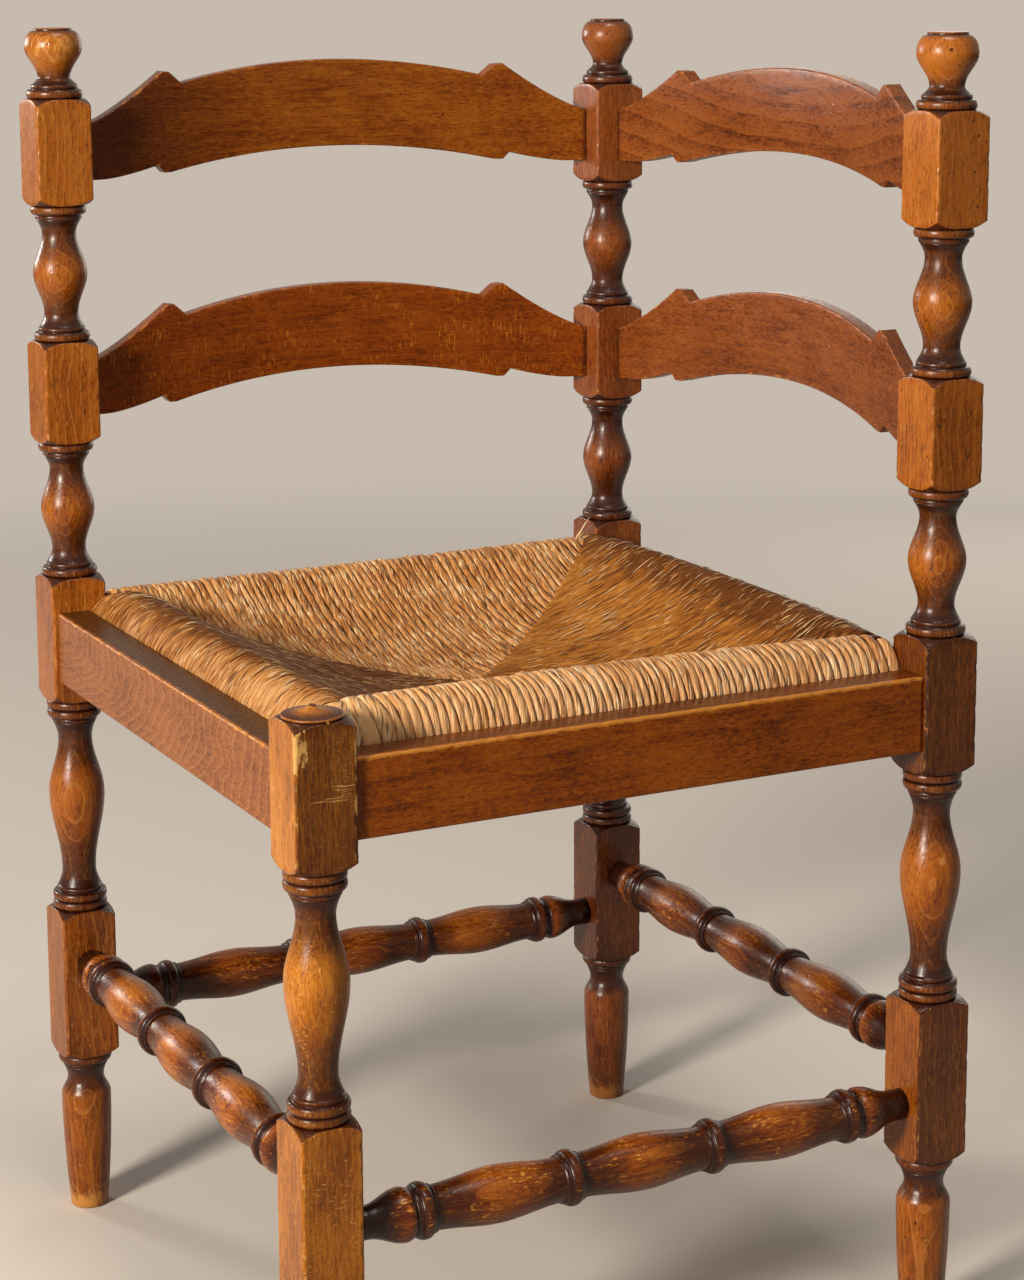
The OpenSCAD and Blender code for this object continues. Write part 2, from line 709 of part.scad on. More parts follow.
// Four woven panels that meet on the diagonals, as rings of one dished solid
module rush_envelope() {
    dish = seat_half - seat_roll;
    under = seat_half - rush_flat;
    rings = concat([for (i = [7:-1:0]) let (d = rush_flat + under * pow(i / 8, 1.3)) [d, rush_under(d)]],
                   [[seat_edge, -seat_depth], [0, -seat_depth + seat_edge]],
                   [for (i = [0:5]) let (d = seat_roll * pow(i / 5, 1.4)) [d, rush_top(d)]],
                   [for (i = [1:11]) let (d = seat_roll + dish * pow(i / 12, 1.3)) [d, rush_top(d)]]);
    corners = [[-1, -1], [1, -1], [1, 1], [-1, 1]];
    points = concat([for (ring = rings, c = corners)
                        [c[0] * (seat_half - ring[0]), c[1] * (seat_half - ring[0]), seat_rail_top + ring[1]]],
                    [[0, 0, seat_rail_top + rush_under(seat_half)], [0, 0, seat_rail_top + rush_top(seat_half)]]);
    last = len(rings) - 1;
    walls = [for (k = [0:last - 1], c = [0:3]) let (n = (c + 1) % 4)
        [4 * k + c, 4 * k + 4 + c, 4 * k + 4 + n, 4 * k + n]];
    ends = [for (c = [0:3]) let (n = (c + 1) % 4) each
        [[4 * (last + 1), c, n], [4 * last + n, 4 * last + c, 4 * (last + 1) + 1]]];
    polyhedron(points, concat(walls, ends), convexity = 4);
}

module rush_seat() {
    translate([centre_shift, centre_shift, 0])
        difference() {
            intersection() {
                rush_envelope();
                translate([0, 0, seat_base_z - seat_sag_under - past])
                    linear_extrude(height = seat_depth + seat_crest + seat_sag_under + 2 * past)
                        union() {
                            square([2 * seat_half, 2 * notch_half], center = true);
                            square([2 * notch_half, 2 * seat_half], center = true);
                        }
            }
            for (side = [FRONT_RIGHT:FRONT_LEFT])
                rotate(90 * side)
                    frame_rail_body(side, rush_ease);
        }
}

color(wood_light) post(FRONT_RIGHT);  // front_post
color(wood) post(BACK_RIGHT);  // right_post
color(wood_dark) post(BACK_LEFT);  // back_post
color(wood) post(FRONT_LEFT);  // left_post
color(wood) ladder_rail(BACK_LEFT, ladder_high_z, upper_left_cut);  // upper_ladder_rail_left
color(wood) ladder_rail(BACK_RIGHT, ladder_high_z, upper_right_cut);  // upper_ladder_rail_right
color(wood) ladder_rail(BACK_LEFT, ladder_low_z, lower_left_cut);  // lower_ladder_rail_left
color(wood) ladder_rail(BACK_RIGHT, ladder_low_z, lower_right_cut);  // lower_ladder_rail_right
color(wood_light) seat_rail(FRONT_LEFT);  // seat_rail_front_left
color(wood) seat_rail(FRONT_RIGHT);  // seat_rail_front_right
color(wood) seat_rail(BACK_LEFT);  // seat_rail_back_left
color(wood) seat_rail(BACK_RIGHT);  // seat_rail_back_right
color(wood) stretcher(FRONT_LEFT);  // stretcher_front_left
color(wood) stretcher(FRONT_RIGHT);  // stretcher_front_right
color(wood_dark) stretcher(BACK_LEFT);  // stretcher_back_left
color(wood_dark) stretcher(BACK_RIGHT);  // stretcher_back_right
color(raw_wood) corner_block(FRONT_RIGHT);  // corner_block_front
color(raw_wood) corner_block(BACK_RIGHT);  // corner_block_right
color(raw_wood) corner_block(BACK_LEFT);  // corner_block_back
color(raw_wood) corner_block(FRONT_LEFT);  // corner_block_left
color(steel) screws();  // corner_block_screws
color(raw_wood) frame_rail(FRONT_LEFT);  // seat_frame_rail_front_left
color(raw_wood) frame_rail(FRONT_RIGHT);  // seat_frame_rail_front_right
color(raw_wood) frame_rail(BACK_LEFT);  // seat_frame_rail_back_left
color(raw_wood) frame_rail(BACK_RIGHT);  // seat_frame_rail_back_right
color(rush) rush_seat();
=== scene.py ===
import math

import bpy
import numpy as np
from mathutils import Matrix, Vector


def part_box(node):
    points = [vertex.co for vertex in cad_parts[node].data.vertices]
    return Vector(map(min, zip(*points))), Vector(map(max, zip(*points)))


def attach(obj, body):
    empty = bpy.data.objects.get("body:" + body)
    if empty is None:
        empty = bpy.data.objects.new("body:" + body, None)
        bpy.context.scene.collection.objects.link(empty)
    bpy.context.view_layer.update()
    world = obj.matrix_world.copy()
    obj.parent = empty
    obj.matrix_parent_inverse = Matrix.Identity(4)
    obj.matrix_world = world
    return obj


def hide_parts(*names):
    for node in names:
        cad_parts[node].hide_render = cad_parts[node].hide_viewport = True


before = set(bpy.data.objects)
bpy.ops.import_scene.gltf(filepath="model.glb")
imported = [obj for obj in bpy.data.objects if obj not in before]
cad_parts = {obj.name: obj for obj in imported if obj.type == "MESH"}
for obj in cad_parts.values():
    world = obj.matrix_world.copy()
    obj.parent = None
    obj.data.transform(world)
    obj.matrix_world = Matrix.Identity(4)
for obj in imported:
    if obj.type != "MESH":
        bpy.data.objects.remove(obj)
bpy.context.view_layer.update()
bpy.context.scene.view_settings.view_transform = "Standard"
print("frame loaded")

mm = 0.001
sides = ["front_right", "back_right", "back_left", "front_left"]  # anticlockwise from above

# The posts' axes, from the CAD posts' boxes
postAxes = {}
for cornerName in ["front", "right", "back", "left"]:
    low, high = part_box(cornerName + "_post")
    postAxes[cornerName] = np.array([(low[0] + high[0]) / 2, (low[1] + high[1]) / 2]) / mm
chairCentre = (postAxes["front"] + postAxes["back"]) / 2
halfPitch = (postAxes["right"][0] - postAxes["front"][0]) / 2


# camera, floor and light

cameraLook = {
    "place": (-793.7, -1588.4, 849.2),
    "yaw": 27.085,          # degrees to the right of +Y
    "pitch": 10.01,         # degrees down
    "roll": -0.26,
    "focal": 2855.1,        # in pixels of the photograph
    "middle": (512, 456),   # where the view direction meets the photograph
    "photo": (1024, 1280),
    "film": 36,             # mm, along the frame's longer side
}


def addCamera(look):
    # Looks along yaw and pitch, with the frame turned round that line by roll
    yaw, pitch, roll = (math.radians(look[key]) for key in ("yaw", "pitch", "roll"))
    ahead = Vector((math.sin(yaw) * math.cos(pitch), math.cos(yaw) * math.cos(pitch), -math.sin(pitch)))
    right = Vector((math.cos(yaw), -math.sin(yaw), 0))
    up = right.cross(ahead)
    rolledRight = right * math.cos(roll) + up * math.sin(roll)
    rolledUp = up * math.cos(roll) - right * math.sin(roll)
    data = bpy.data.cameras.new("photo_camera")
    width, height = look["photo"]
    data.sensor_width = look["film"]
    data.lens = look["focal"] * look["film"] / height
    data.shift_x = (width / 2 - look["middle"][0]) / height
    data.shift_y = (look["middle"][1] - height / 2) / height
    camera = bpy.data.objects.new("photo_camera", data)
    turn = Matrix((rolledRight, rolledUp, -ahead)).transposed().to_4x4()
    camera.matrix_world = Matrix.Translation(Vector(look["place"]) * mm) @ turn
    bpy.context.scene.collection.objects.link(camera)
    bpy.context.scene.camera = camera


def linear(hexColour):
    # sRGB hex to the linear values that the shaders take
    channels = [int(hexColour[i:i + 2], 16) / 255 for i in (1, 3, 5)]
    return tuple(c / 12.92 if c <= 0.04045 else ((c + 0.055) / 1.055) ** 2.4 for c in channels) + (1,)


def addNode(tree, kind, links=None, **settings):
    # A node with its settings, and each named input linked to a socket or given a value
    node = tree.nodes.new(kind)
    for name, value in settings.items():
        setattr(node, name, value)
    for socket, source in (links or {}).items():
        if isinstance(source, bpy.types.NodeSocket):
            tree.links.new(source, node.inputs[socket])
        else:
            node.inputs[socket].default_value = source
    return node


def newMaterial(name):
    # A material of nodes that is still empty, and its tree
    material = bpy.data.materials.new(name)
    material.use_nodes = True
    material.node_tree.nodes.clear()
    return material, material.node_tree


studio = {
    "backdrop": "#c6bbae",   # seen by the camera and in the gloss
    "floor": "#ece4da",
    "floorRadius": 12,       # in metres
    "fade": (1.4, 3.0),      # metres from the chair where the floor turns into the backdrop
    "bounce": "#7d6b58",     # the same floor to the light it throws back, as dark as a real wooden floor
    "ambient": 0.065,
    "ambientTint": (1, 0.97, 0.93, 1),
    "lamps": {
        "key": {"place": (-2.4, -1.0, 1.2), "aim": (0, 0, 0.42), "size": 0.6, "power": 82, "colour": "#fff4e6"},
        "rim": {"place": (-1.35, 2.6, 1.1), "aim": (0, 0, 0.5), "size": 0.6, "power": 22, "colour": "#fffaf4"},
        "top": {"place": (0.0, -0.6, 3.0), "aim": (0, 0, 0.4), "size": 0.8, "power": 23, "colour": "#fff8f0"},
        "back": {"place": (1.9, 1.6, 0.9), "aim": (0, 0, 0.4), "size": 1.5, "power": 8, "colour": "#fff6ec"},
    },
}


def seenBy(tree, path, rays):
    # 1 for the named kinds of rays, and 0 for the rest
    seen = path.outputs[rays[0]]
    for ray in rays[1:]:
        seen = addNode(tree, "ShaderNodeMath", {0: seen, 1: path.outputs[ray]}, operation="MAXIMUM").outputs[0]
    return seen


def addStudio(look):
    # A dim world that shows a pale backdrop, four soft lamps, and a floor that fades into the backdrop
    world = bpy.data.worlds.new("studio")
    bpy.context.scene.world = world
    world.use_nodes = True
    tree = world.node_tree
    tree.nodes.clear()
    path = addNode(tree, "ShaderNodeLightPath")
    shown = seenBy(tree, path, ["Is Camera Ray", "Is Glossy Ray", "Is Transmission Ray"])
    light = addNode(tree, "ShaderNodeBackground", {"Color": look["ambientTint"], "Strength": look["ambient"]})
    backdrop = addNode(tree, "ShaderNodeBackground", {"Color": linear(look["backdrop"]), "Strength": 1})
    mixed = addNode(tree, "ShaderNodeMixShader", {0: shown, 1: light.outputs[0], 2: backdrop.outputs[0]})
    addNode(tree, "ShaderNodeOutputWorld", {"Surface": mixed.outputs[0]})

    for name, lamp in look["lamps"].items():
        data = bpy.data.lights.new(name, "AREA")
        data.shape = "DISK"
        data.size = lamp["size"]
        data.energy = lamp["power"]
        data.color = linear(lamp["colour"])[:3]
        lampObject = bpy.data.objects.new(name, data)
        lampObject.location = lamp["place"]
        toChair = Vector(lamp["aim"]) - Vector(lamp["place"])
        lampObject.rotation_euler = toChair.to_track_quat("-Z", "Y").to_euler()
        lampObject.visible_camera = False
        bpy.context.scene.collection.objects.link(lampObject)

    angles = np.linspace(0, 2 * math.pi, 96, endpoint=False)
    rim = look["floorRadius"] * np.stack([np.cos(angles), np.sin(angles), 0 * angles], -1)
    mesh = bpy.data.meshes.new("floor")
    mesh.from_pydata(rim.tolist(), [], [list(range(len(rim)))])
    floor = bpy.data.objects.new("floor", mesh)
    bpy.context.scene.collection.objects.link(floor)
    material, tree = newMaterial("pale_studio_floor")
    path = addNode(tree, "ShaderNodeLightPath")
    shown = seenBy(tree, path, ["Is Camera Ray", "Is Glossy Ray"])
    tint = addNode(tree, "ShaderNodeMix", {0: shown, 6: linear(look["bounce"]), 7: linear(look["floor"])},
                   data_type="RGBA")
    paint = addNode(tree, "ShaderNodeBsdfDiffuse", {"Color": tint.outputs[2]})
    haze = addNode(tree, "ShaderNodeEmission", {"Color": linear(look["backdrop"]), "Strength": 1})
    place = addNode(tree, "ShaderNodeTexCoord")
    distance = addNode(tree, "ShaderNodeVectorMath", {0: place.outputs["Object"]}, operation="LENGTH")
    near, far = look["fade"]
    fade = addNode(tree, "ShaderNodeMapRange",
                   {"Value": distance.outputs["Value"], "From Min": near, "From Max": far},
                   interpolation_type="SMOOTHSTEP")
    onlySeen = addNode(tree, "ShaderNodeMath", {0: path.outputs["Is Camera Ray"], 1: fade.outputs[0]},
                       operation="MULTIPLY")
    mixed = addNode(tree, "ShaderNodeMixShader",
                    {0: onlySeen.outputs[0], 1: paint.outputs[0], 2: haze.outputs[0]})
    addNode(tree, "ShaderNodeOutputMaterial", {"Surface": mixed.outputs[0]})
    mesh.materials.append(material)


addCamera(cameraLook)
addStudio(studio)
print("camera, floor and light ready")


# surfaces

def loft(rings):
    # Quads between neighbouring closed rings, and one face at each end. rings[i, j] is point j of
    # ring i
    count, around = rings.shape[:2]
    i, j = np.meshgrid(np.arange(count - 1), np.arange(around), indexing="ij")
    nextJ = (j + 1) % around
    quads = np.stack([i * around + j, (i + 1) * around + j, (i + 1) * around + nextJ, i * around + nextJ], -1)
    first = np.arange(around)
    ends = [first, first[::-1] + (count - 1) * around]
    return rings.reshape(-1, 3), quads.reshape(-1, 4), ends


def facesInwards(points, quads):
    # True where the quads' volume about the middle of the points is below zero
    points = points - points.mean(0)
    a, b, c, d = (points[quads[:, k]] for k in range(4))
    return (np.einsum("ij,ij->i", a, np.cross(b, c)) + np.einsum("ij,ij->i", a, np.cross(c, d))).sum() < 0


def addPiece(name, points, quads, ends, layers, material, body, nodes, uv=None):
    # Makes a mesh of quads and end faces a piece of a body. points are in mm, layers holds one value
    # a point for each named attribute, and uv one pair a corner of the quads
    if facesInwards(points, quads):
        quads = quads[:, ::-1]
        ends = [end[::-1] for end in ends]
        uv = None if uv is None else uv[:, ::-1]
    corners = np.concatenate([quads.ravel()] + list(ends))
    sizes = np.concatenate([np.full(len(quads), 4), [len(end) for end in ends]]).astype(np.int32)
    starts = np.concatenate([[0], np.cumsum(sizes)[:-1]]).astype(np.int32)
    mesh = bpy.data.meshes.new(name)
    mesh.vertices.add(len(points))
    mesh.vertices.foreach_set("co", (points * mm).astype(np.float32).ravel())
    mesh.loops.add(len(corners))
    mesh.loops.foreach_set("vertex_index", corners.astype(np.int32))
    mesh.polygons.add(len(sizes))
    mesh.polygons.foreach_set("loop_start", starts)
    mesh.polygons.foreach_set("use_smooth", np.ones(len(sizes), bool))
    mesh.update(calc_edges=True)
    for layer, values in layers.items():
        attribute = mesh.attributes.new(layer, "FLOAT", "POINT")
        attribute.data.foreach_set("value", np.asarray(values, np.float32).ravel())
    if uv is not None:
        flat = np.zeros((len(corners), 2), np.float32)
        flat[:quads.size] = uv.reshape(-1, 2)
        mesh.uv_layers.new(name="UVMap").data.foreach_set("uv", flat.ravel())
    mesh.materials.append(material)
    piece = bpy.data.objects.new(name, mesh)
    bpy.context.scene.collection.objects.link(piece)
    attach(piece, body)
    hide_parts(*nodes)


def addWood(name, rings, layers, material, node):
    # A piece of the chair's fixed frame, from its rings, which replaces one node
    points, quads, ends = loft(rings)
    addPiece(name, points, quads, ends, layers, material, "frame", [node])


def onSide(points, side):
    # Turns points made for the front right side, where y is below zero, to another side
    quarter = math.radians(90 * side)
    x, y, z = np.moveaxis(points, -1, 0)
    cos, sin = math.cos(quarter), math.sin(quarter)
    return np.stack([x * cos - y * sin, x * sin + y * cos, z], -1) + np.array([*chairCentre, 0])


def ramp(value, low, high):
    # 0 below low, 1 above high, and a smooth step between
    t = np.clip((value - low) / (high - low), 0, 1)
    return t * t * (3 - 2 * t)


def wander(places, length, seed):
    # Smooth random curve between about -1 and 1: three sines, each shorter and lower, whose phase
    # sways. It turns about once in each length
    dice = np.random.default_rng(seed)
    total = np.zeros_like(places, dtype=float)
    for stretch in (1.0, 0.57, 0.31):
        phase, bend = dice.uniform(0, 2 * math.pi, 2)
        sway = 0.6 * np.sin(places / length + bend)
        total += stretch * np.sin(places / (length * stretch) * math.pi + phase + sway)
    return total / 1.6


# beech

# How large each pattern of the wood is, in mm across and along the grain, with its noise's detail
# and roughness. Fibre and pores are drawn coarser than real ones, which are too fine to show
beechGrain = {
    "fibre": (1.0, 20, 3, 0.65),
    "pore": (0.9, 6.5, 1, 0.5),
    "fleck": (0.9, 4.5, 1, 0.5),
    "fleckPatch": (14, 26, 1, 0.5),
    "mottle": (1.9, 4, 3, 0.65),
    "patch": (8, 22, 3, 0.6),
    "blotch": (26, 60, 2, 0.5),
    "scuff": (16, 0.7, 2, 0.55),
    "rub": (2.6, 7, 4, 0.7),
    "speck": (3.0, 4.2, 1, 0.5),
}

# dark, mid and light are the stain's tones, and the other colours lie over them. ring and fibre say
# how far growth rings and fibre shift the tone, and lines, fleckAmount and scuffs how strong those
# layers are. rise is how much lighter the wood gets in each metre along its grain
beechLooks = {
    "post": {"dark": "#7f3d0c", "mid": "#ab5d16", "light": "#c27022", "fleck": "#cf8a38",
             "hollow": "#2f0e03", "worn": "#d8954a", "line": "#cf8b45", "ring": 0.15, "lines": 0.45,
             "ringSpacing": 3.2, "fleckAmount": 0.3, "scuffs": 0.35, "rise": 0.3, "gloss": 0.36},
    "frontPost": {"dark": "#8f4d12", "mid": "#bd711f", "light": "#dc923e", "fleck": "#e2a552",
                  "hollow": "#3a1505", "worn": "#e8b66c", "line": "#dc9c4c", "ring": 0.08, "lines": 0.3,
                  "ringSpacing": 3.8, "fleckAmount": 0.35, "scuffs": 0.9, "rise": 0.5,
                  "fleckSize": (3.2, 1.1), "gloss": 0.27},
    "ladder": {"dark": "#652a05", "mid": "#95480a", "light": "#ab5f14", "fleck": "#c0782a",
               "hollow": "#3a1205", "worn": "#c87a2c", "line": "#ab5e1a", "ring": 0.12, "lines": 0.15,
               "ringSpacing": 7.0, "fleckAmount": 0.15, "scuffs": 0.15, "rise": 0, "cloud": 0.7,
               "gloss": 0.26},
    "apron": {"dark": "#642906", "mid": "#984a0b", "light": "#b06012", "fleck": "#c27a26",
              "hollow": "#40180a", "worn": "#d28a38", "line": "#b0651d", "ring": 0.1, "lines": 0.2,
              "ringSpacing": 9.0, "fleckAmount": 0.2, "scuffs": 0.3, "rise": 0, "gloss": 0.22,
              "fibre": 0.6, "mottle": 1.3},
    "stretcher": {"dark": "#5e2405", "mid": "#a35412", "light": "#c2741c", "fleck": "#e0983a",
                  "hollow": "#2c0d04", "worn": "#cf8736", "line": "#c57a26", "ring": 0.12, "lines": 0.3,
                  "ringSpacing": 4.5, "fleckAmount": 0.6, "scuffs": 0.2, "rise": 0, "gloss": 0.3,
                  "spots": 0.74, "fleckSize": (1.4, 5)},
}


def addPatterns(tree, place, patterns):
    # One noise for each pattern, which says its scale along the three axes, its detail and its
    # roughness
    noise = {}
    for key, (scale, detail, rough) in patterns.items():
        scaled = addNode(tree, "ShaderNodeVectorMath", {0: place, 1: scale}, operation="MULTIPLY")
        links = {"Vector": scaled.outputs[0], "Scale": 1, "Detail": detail, "Roughness": rough}
        noise[key] = addNode(tree, "ShaderNodeTexNoise", links).outputs[0]
    return noise


def addShares(tree, start, shares):
    # start plus each pattern times its share
    for pattern, share in shares:
        start = addNode(tree, "ShaderNodeMath", {0: pattern, 1: share, 2: start},
                        operation="MULTIPLY_ADD").outputs[0]
    return start


def addTone(tree, shifts, shares, look):
    # A ramp over the look's dark, mid and light colours. A pattern in shares moves the tone to either
    # side of the middle by half its share, and one in shifts moves it one way by its whole share
    middle = 0.5 - sum(share for _, share in shares) / 2
    colours = addNode(tree, "ShaderNodeValToRGB", {0: addShares(tree, middle, shifts + shares)})
    stops = colours.color_ramp.elements
    stops[0].position, stops[0].color = 0.12, linear(look["dark"])
    stops[1].position, stops[1].color = 0.9, linear(look["light"])
    stops.new(0.5).color = linear(look["mid"])
    return colours.outputs[0]


def addLayers(tree, colour, layers):
    # What lies over a colour: each layer's pattern, where it goes from none to full, how strong it
    # is, what it is kept to, and its colour
    for pattern, none, full, strength, keptTo, layerColour in layers:
        shown = addNode(tree, "ShaderNodeMapRange", {"Value": pattern, "From Min": none, "From Max": full,
                                                     "To Max": strength}).outputs[0]
        if keptTo is not None:
            kept = addNode(tree, "ShaderNodeMapRange", {"Value": keptTo, "From Min": 0.42, "From Max": 0.6})
            shown = addNode(tree, "ShaderNodeMath", {0: shown, 1: kept.outputs[0]},
                            operation="MULTIPLY").outputs[0]
        colour = addNode(tree, "ShaderNodeMix", {0: shown, 6: colour, 7: linear(layerColour)},
                         data_type="RGBA").outputs[2]
    return colour


def stainedBeech(name, look, centre, alongTurn, pith):
    # Stained, waxed beech: even brown with cloudy blotches and very fine fibre, a few thin growth
    # lines, short ray flecks that took less stain, dark stain left in the turned hollows, painted shade
    # on some block faces and rail ends, pale wood rubbed bare on the arrises, and a satin gloss.
    # centre is a point on the piece's axis in mm, alongTurn turns Z to the grain, and pith says how far
    # the rings' middle lies from it, in mm
    material, tree = newMaterial(name)
    place = addNode(tree, "ShaderNodeTexCoord")
    grain = addNode(tree, "ShaderNodeMapping",
                    {"Vector": place.outputs["Object"], "Location": Vector(centre) * mm,
                     "Rotation": alongTurn, "Scale": (mm, mm, mm)}, vector_type="TEXTURE").outputs[0]
    sizes = {**beechGrain, "fleck": look.get("fleckSize", beechGrain["fleck"][:2]) + beechGrain["fleck"][2:]}
    noise = addPatterns(tree, grain, {key: ((1 / across, 1 / across, 1 / along), detail, rough)
                                      for key, (across, along, detail, rough) in sizes.items()})

    # Growth rings round the pith, ringSpacing mm apart, which noise 30 mm wide and 80 mm long bends
    fromPith = addNode(tree, "ShaderNodeVectorMath", {0: grain, 1: pith}, operation="ADD")
    leaning = addNode(tree, "ShaderNodeVectorMath", {0: fromPith.outputs[0], 1: (1, 1, look.get("lean", 0.07))},
                      operation="MULTIPLY")
    slow = addNode(tree, "ShaderNodeVectorMath", {0: grain, 1: (1 / 30, 1 / 30, 1 / 80)}, operation="MULTIPLY")
    sway = addNode(tree, "ShaderNodeTexNoise", {"Vector": slow.outputs[0], "Scale": 1, "Detail": 1})
    bent = addNode(tree, "ShaderNodeVectorMath",
                   {0: sway.outputs["Color"], 1: (13, 13, 13), 2: leaning.outputs[0]}, operation="MULTIPLY_ADD")
    ringScale = 2 * math.pi / (20 * look["ringSpacing"])   # the wave's own period is pi / 10
    rings = addNode(tree, "ShaderNodeTexWave",
                    {"Vector": bent.outputs[0], "Scale": ringScale, "Distortion": 0.3, "Detail": 1,
                     "Detail Scale": 1.5},
                    wave_type="RINGS", rings_direction="SPHERICAL", wave_profile="SAW").outputs["Fac"]

    # The tone falls in the turned hollows and rises on the swells, where hollow is below zero
    cloud = look.get("cloud", 1.0)
    # hollow is the dark stain in the turned hollows, and also painted shade on some block faces and the left
    # post's painted shadow on the left ladder rails
    hollow, wear, scuffed = (addNode(tree, "ShaderNodeAttribute", attribute_name=key).outputs["Fac"]
                             for key in ("hollow", "wear", "scuffed"))
    alongGrain = addNode(tree, "ShaderNodeSeparateXYZ", {0: grain}).outputs["Z"]
    stain = addTone(tree, [(alongGrain, look["rise"] * mm), (hollow, -0.5)],
                    [(rings, look["ring"]), (noise["fibre"], look.get("fibre", 1.1)),
                     (noise["blotch"], 1.1 * cloud), (noise["patch"], 0.7 * cloud),
                     (noise["mottle"], look.get("mottle", 0.8))], look)
    pored = addShares(tree, noise["pore"], [(hollow, 0.3)])
    uneven = addShares(tree, hollow, [(noise["mottle"], 0.8), (noise["patch"], 0.5)])
    scratched = addShares(tree, noise["scuff"], [(scuffed, 0.4)])
    rubbed = addShares(tree, wear, [(noise["rub"], 1.1)])
    spots, scuffs = look.get("spots", 0.78), look["scuffs"]
    colour = addLayers(tree, stain, [
        (rings, 0.8, 1.0, look["lines"], None, look["line"]),
        (noise["fleck"], 0.6, 0.7, look["fleckAmount"] * 2, noise["fleckPatch"], look["fleck"]),
        (pored, 0.6, 0.7, 0.5, None, look["hollow"]),
        (uneven, 0.76, 1.36, 0.95, None, look["hollow"]),
        (noise["scuff"], 0.68, 0.76, scuffs * 0.6, noise["patch"], look["worn"]),
        (scratched, 0.89, 0.95, 0.8, None, look["worn"]),
        (rubbed, 1.14, 1.28, 0.9, None, look["worn"]),
        (noise["speck"], spots, spots + 0.03, 0.8, None, "#220b03"),
        (noise["speck"], 0.235, 0.2, scuffs, None, look["worn"]),
    ])

    roughness = addNode(tree, "ShaderNodeMapRange", {"Value": noise["mottle"], "From Min": 0.25,
                                                     "From Max": 0.75, "To Min": 0.18, "To Max": 0.4})
    dents = addNode(tree, "ShaderNodeMapRange", {"Value": noise["speck"], "From Min": 0.68, "From Max": 0.8,
                                                 "To Max": -1.2})
    height = addShares(tree, dents.outputs[0], [(noise["fibre"], 0.5), (noise["mottle"], 0.5)])
    relief = addNode(tree, "ShaderNodeBump", {"Height": height, "Strength": 0.4, "Distance": 0.4 * mm})
    wood = addNode(tree, "ShaderNodeBsdfPrincipled",
                   {"Base Color": colour, "Roughness": roughness.outputs[0], "IOR": 1.5,
                    "Specular IOR Level": look["gloss"], "Normal": relief.outputs[0]})
    addNode(tree, "ShaderNodeOutputMaterial", {"Surface": wood.outputs[0]})
    return material


def beechAlong(side, name, look, y, z, pith):
    # Stained beech about the line at y and z of a side, with its grain turned from Z down onto X and
    # then round to the side
    turn = (0, math.radians(90), math.radians(90 * side))
    return stainedBeech(name, look, onSide(np.array([0.0, y, z]), side), turn, pith)


# posts

# Heights along the axis end in H and diameters in D. The storeys of a post are listed in postPiece
post = {
    "blockSide": 37, "cornerRound": 1.7, "shoulder": 4.5, "arris": 0.7, "arrisRound": 0.7, "dents": 0.7,
    "foot": 111, "stretcherBlock": 103.5, "vaseTurning": 145, "seatBlock": 84.5,
    "lowTurning": 89.5, "lowBlock": 67, "highTurning": 88.5, "highBlock": 68.5,
    "beadD": 36, "beadH": 6, "beadRoot": 1.8, "filletD": 30, "filletH": 3, "filletEdge": 0.4,
    "footD": 25, "footBulbD": 33.5, "footBulbZ": 80.5, "footNeckD": 24.5, "footNeckH": 12.5, "footWorn": 0.9,
    "finial": 45, "finialD": 37, "finialNeckD": 21, "finialCrownH": 12, "finialCoveH": 5,
    "buttonD": 24.5, "buttonH": 1.5, "capD": 35, "capDiscH": 1.8, "capH": 7, "capTip": 2.5,
    "wear": 0.1,
}

# Turnings between two mouldings: beads in each, necks and hollows, how wide the swell is and how far
# above the turning's foot, or halfway up, and the stain at its lower neck, middle and upper neck
bulbTurning = {"beads": 1, "neckD": 22, "coveH": 9, "wideD": 35, "wideZ": None, "stains": (0.5, 0.06, 0.5)}
vaseTurning = {"beads": 2, "neckD": 22.5, "coveH": 12, "wideD": 37, "wideZ": 80, "stains": (0.5, -0.05, 0.45)}


# Each curve of a turning is rows of radius, height and how much dark stain lies there

def beadCurve(radius, z, height):
    # Half round that rises from its root and falls back
    angle = np.linspace(0, math.pi, 13)
    root = post["beadRoot"]
    stain = 0.36 + 0.85 * np.abs(np.cos(angle)) ** 4
    return np.stack([radius - root + root * np.sin(angle), z + height * (1 - np.cos(angle)) / 2, stain], -1)


def swellCurve(r1, z1, r2, z2, stain1, stain2, fades=0.75):
    # Cosine step between two radii, level at both ends. The stain changes over the share fades of it
    t = np.linspace(0, 1, max(6, int(abs(z2 - z1) / 0.9)))
    step = (1 - np.cos(math.pi * t)) / 2
    stain = stain1 + (stain2 - stain1) * ramp(t, 0, fades)
    return np.stack([r1 + (r2 - r1) * step, z1 + (z2 - z1) * t, stain], -1)


def hollowCurve(r1, z1, r2, z2):
    # Quarter hollow from a fillet at r1 to a neck at r2
    t = np.linspace(0, 1, 10)
    radius = r2 + (r1 - r2) * (1 - np.sin(t * math.pi / 2))
    return np.stack([radius, z1 + (z2 - z1) * t, 1.15 - 0.6 * ramp(t, 0, 0.6)], -1)


def filletCurve(radius, z1, z2):
    # A narrow upright band whose two edges are cut off slantwise
    edge = post["filletEdge"]
    return np.array([[radius - 0.5, z1, 1.1], [radius, z1 + edge, 0.7],
                     [radius, z2 - edge, 0.5], [radius - edge, z2, 0.9]])


